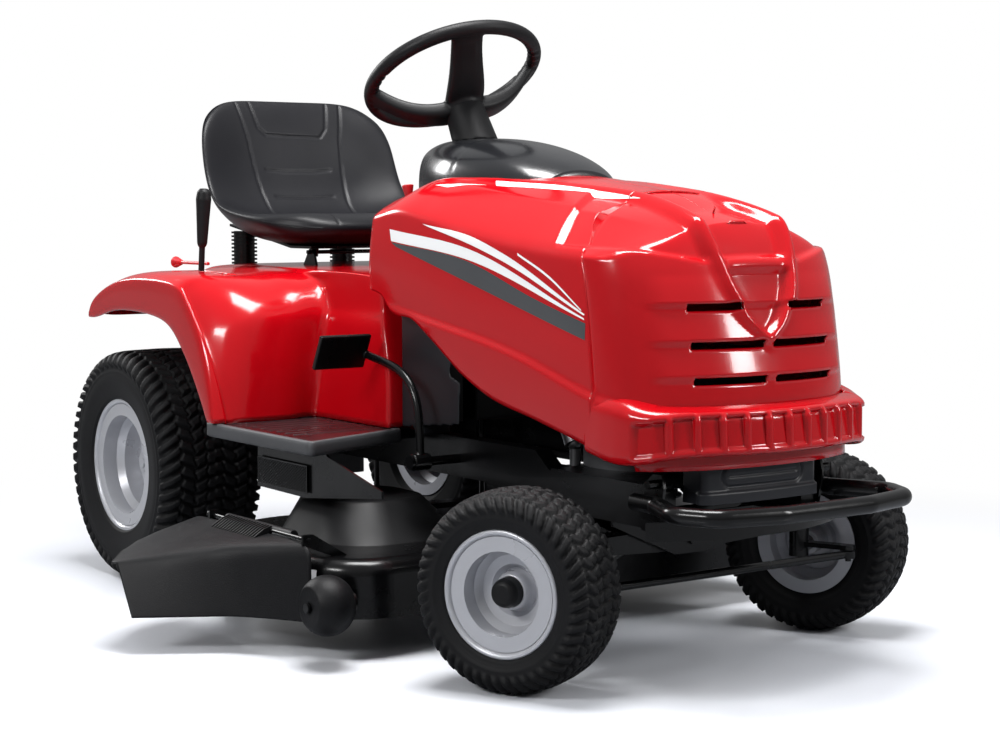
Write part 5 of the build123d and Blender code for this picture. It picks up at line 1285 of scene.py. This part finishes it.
stripes = {
    # material, top edge and bottom edge: ahead, height
    "stripeWide": ("whiteFilm", [(666, 703), (920, 671), (1238, 571)],
                   [(673, 682), (920, 653), (1240, 568)]),
    "stripeMiddle": ("whiteFilm", [(771, 713), (924, 692), (1022, 664), (1240, 577)],
                     [(790, 708), (929, 677), (1024, 651), (1238, 575)]),
    "stripeThin": ("whiteFilm", [(1055, 668), (1150, 631), (1232, 583)],
                   [(1056, 664), (1150, 627), (1230, 582)]),
    "bandDark": ("greyFilm", [(673, 680), (920, 650), (1100, 598), (1243, 563)],
                 [(690, 672), (869, 628), (1077, 577), (1243, 537)]),
}
filmGap = 0.5  # millimetres between a film and the hood
crestStripes = {
    # ahead from and to, columns, height taken off to find the crest, gap to the crest, places
    # ahead and the width there
    "stripeTop": (846, 1186, 80, 775, 12, (846, 870, 1000, 1186), (0.5, 20, 19, 0.5)),
    "stripeSliver": (718, 846, 30, 790, 30, (718, 760, 846), (0.5, 9, 0.5)),
}


# The hood's outer surface, to lay films on.
def hoodTrees():
    trees = []
    for name in ("hoodRight", "hoodLeft", "hoodNose"):
        mesh = bpy.data.objects[name].data
        corners = [vertex.co.copy() for vertex in mesh.vertices]
        trees.append(BVHTree.FromPolygons(corners, [tuple(p.vertices) for p in mesh.polygons]))
    return trees


# A thin film: each point drops along a direction onto the hood and stands just off it.
def layFilm(name, starts, direction, material, trees):
    rows, columns = starts.shape[:2]
    way = Vector(direction)
    laid = np.zeros((rows, columns, 3))
    kept = np.ones((rows, columns), bool)
    for i in range(rows):
        for j in range(columns):
            start = Vector(toRow(starts[i, j]))
            best = None
            for tree in trees:
                hit = tree.ray_cast(start, way, 1.0)
                if hit[0] is not None and (best is None or hit[3] < best[3]):
                    best = hit
            if best is None:
                kept[i, j] = False
                continue
            place = best[0] - way * (filmGap / 1000)
            laid[i, j] = np.array(place) * 1000 - (axleX, midY, 0)
    holes = ~(kept[:-1, :-1] & kept[1:, 1:] & kept[:-1, 1:] & kept[1:, :-1])
    film = addGrid(name, laid, material, holes=holes)
    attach(film, "hood")
    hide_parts("hood_shell")


# Films on both sides, between two curves each, and tapered stripes beside the crests.
def addStripes():
    trees = hoodTrees()
    for name, (material, top, bottom) in stripes.items():
        top, bottom = np.array(top, float), np.array(bottom, float)
        share = np.linspace(0, 1, 90)[None, :]
        over = np.linspace(0, 1, 9)[:, None]
        edges = []
        for line in (top, bottom):
            x = line[0, 0] + share * (line[-1, 0] - line[0, 0])
            edges.append((x, ease(line, x)))
        x = edges[0][0] + (edges[1][0] - edges[0][0]) * over
        z = edges[0][1] + (edges[1][1] - edges[0][1]) * over
        for end, aside in (("Right", -400.0), ("Left", 400.0)):
            starts = np.stack([x, np.full_like(x, aside), z], axis=-1)
            starts = starts if aside < 0 else starts[::-1]
            layFilm(name + end, starts, (0, -aside / 400, 0), material, trees)
    over = np.linspace(0, 1, 7)[:, None]
    for name, (start, end, columns, drop, gap, places, widths) in crestStripes.items():
        x = np.linspace(start, end, columns)[None, :]
        width = np.interp(x, places, widths)
        for hand, aside in (("Right", -1), ("Left", 1)):
            y = aside * (ease(hood["crest"], x - drop) + gap + over * width)
            starts = np.stack([np.broadcast_to(x, y.shape), y, np.full_like(y, 1000)], axis=-1)
            starts = starts[::-1] if aside < 0 else starts
            layFilm(name + hand, starts, (0, 0, -1), "whiteFilm", trees)


addStripes()
print("stripes")


rims = {
    # from the outer flange in to the hub: across, radius
    "rear": [(91, 134), (95, 133), (96, 129), (94, 125), (89, 122.5), (82, 120.5), (68, 116),
             (62, 108), (56, 105), (44, 104), (36, 98), (33, 90), (20, 88), (8, 84), (5, 76),
             (5, 60), (6, 45), (12, 38), (24, 34), (30, 31), (31, 27)],
    "front": [(53, 100), (57, 99), (58, 95), (56, 91.5), (51, 89.5), (46, 88), (38, 84), (34, 79),
              (30, 77), (20, 76), (14, 72), (12, 66), (4, 63), (0, 58), (-2, 52), (-2, 42),
              (0, 36), (8, 31), (20, 29), (24, 27), (25, 24)],
}
rimWall = 2.5


# A pressed wheel: a rolled flange, two steps of the drop well and a dished centre.
def addRim(wheel):
    profile = roundProfile(rims[wheel.split("_")[0]], 1.6, 3)
    points = wheelPoints(wheel, profile[:, :1], profile[:, 1:], circle(144)[None, :])
    rim = addGrid(wheel.replace("_", "Rim_"), points, "silverLacquer", wrapColumns=True)
    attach(thicken(rim, rimWall), wheel.replace("_", "_wheel_"))


for wheel in wheels:
    addRim(wheel)
print("rims")


# where the camera stands, its turn in degrees and its lens in millimetres
view = {"position": (3682.1, -2124.2, 746.9), "yaw": 144.756, "pitch": -4.889, "roll": -0.0946,
        "lens": 71.97}


# The camera, given by where it stands and by its yaw, pitch and roll in degrees.
def addCamera():
    yaw, pitch, roll = (radians(view[key]) for key in ("yaw", "pitch", "roll"))
    ahead = Vector((cos(pitch) * cos(yaw), cos(pitch) * sin(yaw), sin(pitch)))
    right = ahead.cross(Vector((0, 0, 1))).normalized()
    up = right.cross(ahead)
    rightRolled = right * cos(roll) + up * sin(roll)
    upRolled = up * cos(roll) - right * sin(roll)
    camera = bpy.data.objects.new("camera", bpy.data.cameras.new("camera"))
    bpy.context.scene.collection.objects.link(camera)
    turn = Matrix((rightRolled, upRolled, -ahead)).transposed().to_4x4()
    camera.matrix_world = Matrix.Translation(Vector(toRow(view["position"]))) @ turn
    camera.data.lens = view["lens"]
    camera.data.sensor_width = 36
    camera.data.clip_end = 100
    camera.data.dof.use_dof = False
    bpy.context.scene.camera = camera


addCamera()


# A soft box that faces a point; all in machine millimetres, except the size in metres.
def addPanel(name, position, target, size, power):
    light = bpy.data.lights.new(name, "AREA")
    light.shape = "RECTANGLE"
    light.size, light.size_y = size
    light.energy = power
    panel = bpy.data.objects.new(name, light)
    start, end = Vector(toRow(position)), Vector(toRow(target))
    panel.location = start
    panel.rotation_euler = (end - start).to_track_quat("-Z", "Y").to_euler()
    bpy.context.scene.collection.objects.link(panel)


panels = {
    # place, target, width and height in metres, watts
    "overhead": ((900, -200, 3000), (700, 0, 400), (1.5, 1.0), 135),
    "frontLeft": ((3600, 1500, 1900), (900, 0, 500), (0.6, 1.2), 60),
    "frontRight": ((1300, -3300, 2100), (600, 0, 450), (1.3, 0.45), 62),
    "rear": ((-2600, -900, 1900), (0, 0, 500), (1.0, 1.0), 45),
}
for name, values in panels.items():
    addPanel(name, *values)


studio = {
    "reflected": 0.22,  # share of the white surroundings that shows in gloss
    "walls": 0.10, "ceiling": 0.48,  # strength of the light from all round and from above
    "fade": (1.0, 2.1),  # metres from the middle over which the floor turns plain white
    "reach": 30,  # half width of the floor in metres
}


# How much of the plain white a ray sees: all to the eye and through glass, some in gloss.
def whiteShare(tree):
    path = addNode(tree, "ShaderNodeLightPath")
    gloss = addNode(tree, "ShaderNodeMath", {0: path.outputs["Is Glossy Ray"],
                                             1: studio["reflected"]}, operation="MULTIPLY")
    clear = addNode(tree, "ShaderNodeMath", {0: path.outputs["Is Camera Ray"],
                                             1: path.outputs["Is Transmission Ray"]},
                    operation="MAXIMUM")
    return addNode(tree, "ShaderNodeMath", {0: clear.outputs[0], 1: gloss.outputs[0]},
                   operation="MAXIMUM").outputs[0]


# A bright ceiling over dim walls, seen by the camera as plain white.
def addWorld():
    world = bpy.data.worlds.new("studio")
    bpy.context.scene.world = world
    world.use_nodes = True
    tree = world.node_tree
    tree.nodes.clear()
    way = addNode(tree, "ShaderNodeTexCoord").outputs["Generated"]
    height = addNode(tree, "ShaderNodeSeparateXYZ", {0: way}).outputs["Z"]
    ceiling = addNode(tree, "ShaderNodeMapRange", {
        "Value": height, "From Min": 0.05, "From Max": 0.75, "To Min": studio["walls"],
        "To Max": studio["ceiling"]},
        interpolation_type="SMOOTHSTEP")
    glow = addNode(tree, "ShaderNodeBackground", {"Color": hexToLinear("#F2F4F7"),
                                                  "Strength": ceiling.outputs["Result"]})
    white = addNode(tree, "ShaderNodeBackground", {"Color": (1, 1, 1, 1), "Strength": 1.0})
    mix = addNode(tree, "ShaderNodeMixShader", {0: whiteShare(tree), 1: glow.outputs[0],
                                                2: white.outputs[0]})
    addNode(tree, "ShaderNodeOutputWorld", {0: mix.outputs[0]})


addWorld()


# A plain pale floor that runs out into the white background.
def addFloor():
    material, tree, shader, place = startMaterial("paleFloor")
    seen = addNode(tree, "ShaderNodeLightPath").outputs["Is Camera Ray"]
    pale = addNode(tree, "ShaderNodeMix", {"Factor": seen, "A": hexToLinear("#8E9197"),
                                           "B": varied(tree, place, "#E0E4EE", "#F4F5F8", 1.2)},
                   data_type="RGBA")
    tree.links.new(pale.outputs["Result"], shader.inputs["Base Color"])
    shader.inputs["Roughness"].default_value = 0.22
    glow = addNode(tree, "ShaderNodeEmission", {"Color": (1, 1, 1, 1), "Strength": 1.0})
    distance = addNode(tree, "ShaderNodeVectorMath", {0: place}, operation="LENGTH")
    near, far = studio["fade"]
    share = addNode(tree, "ShaderNodeMapRange", {"Value": distance.outputs["Value"],
                                                 "From Min": near, "From Max": far},
                    interpolation_type="SMOOTHSTEP")
    shown = addNode(tree, "ShaderNodeMath", {0: share.outputs["Result"], 1: whiteShare(tree)},
                    operation="MULTIPLY")
    mix = addNode(tree, "ShaderNodeMixShader", {0: shown.outputs[0], 1: shader.outputs[0],
                                                2: glow.outputs[0]})
    tree.links.new(mix.outputs[0], tree.nodes["Material Output"].inputs["Surface"])
    mesh = bpy.data.meshes.new("floor")
    reach = studio["reach"]
    mesh.from_pydata([(-reach, -reach, 0), (reach, -reach, 0), (reach, reach, 0),
                      (-reach, reach, 0)], [], [(0, 1, 2, 3)])
    mesh.materials.append(material)
    floor = bpy.data.objects.new("floor", mesh)
    bpy.context.scene.collection.objects.link(floor)


addFloor()

bpy.context.scene.view_settings.view_transform = "Standard"
print("stage")
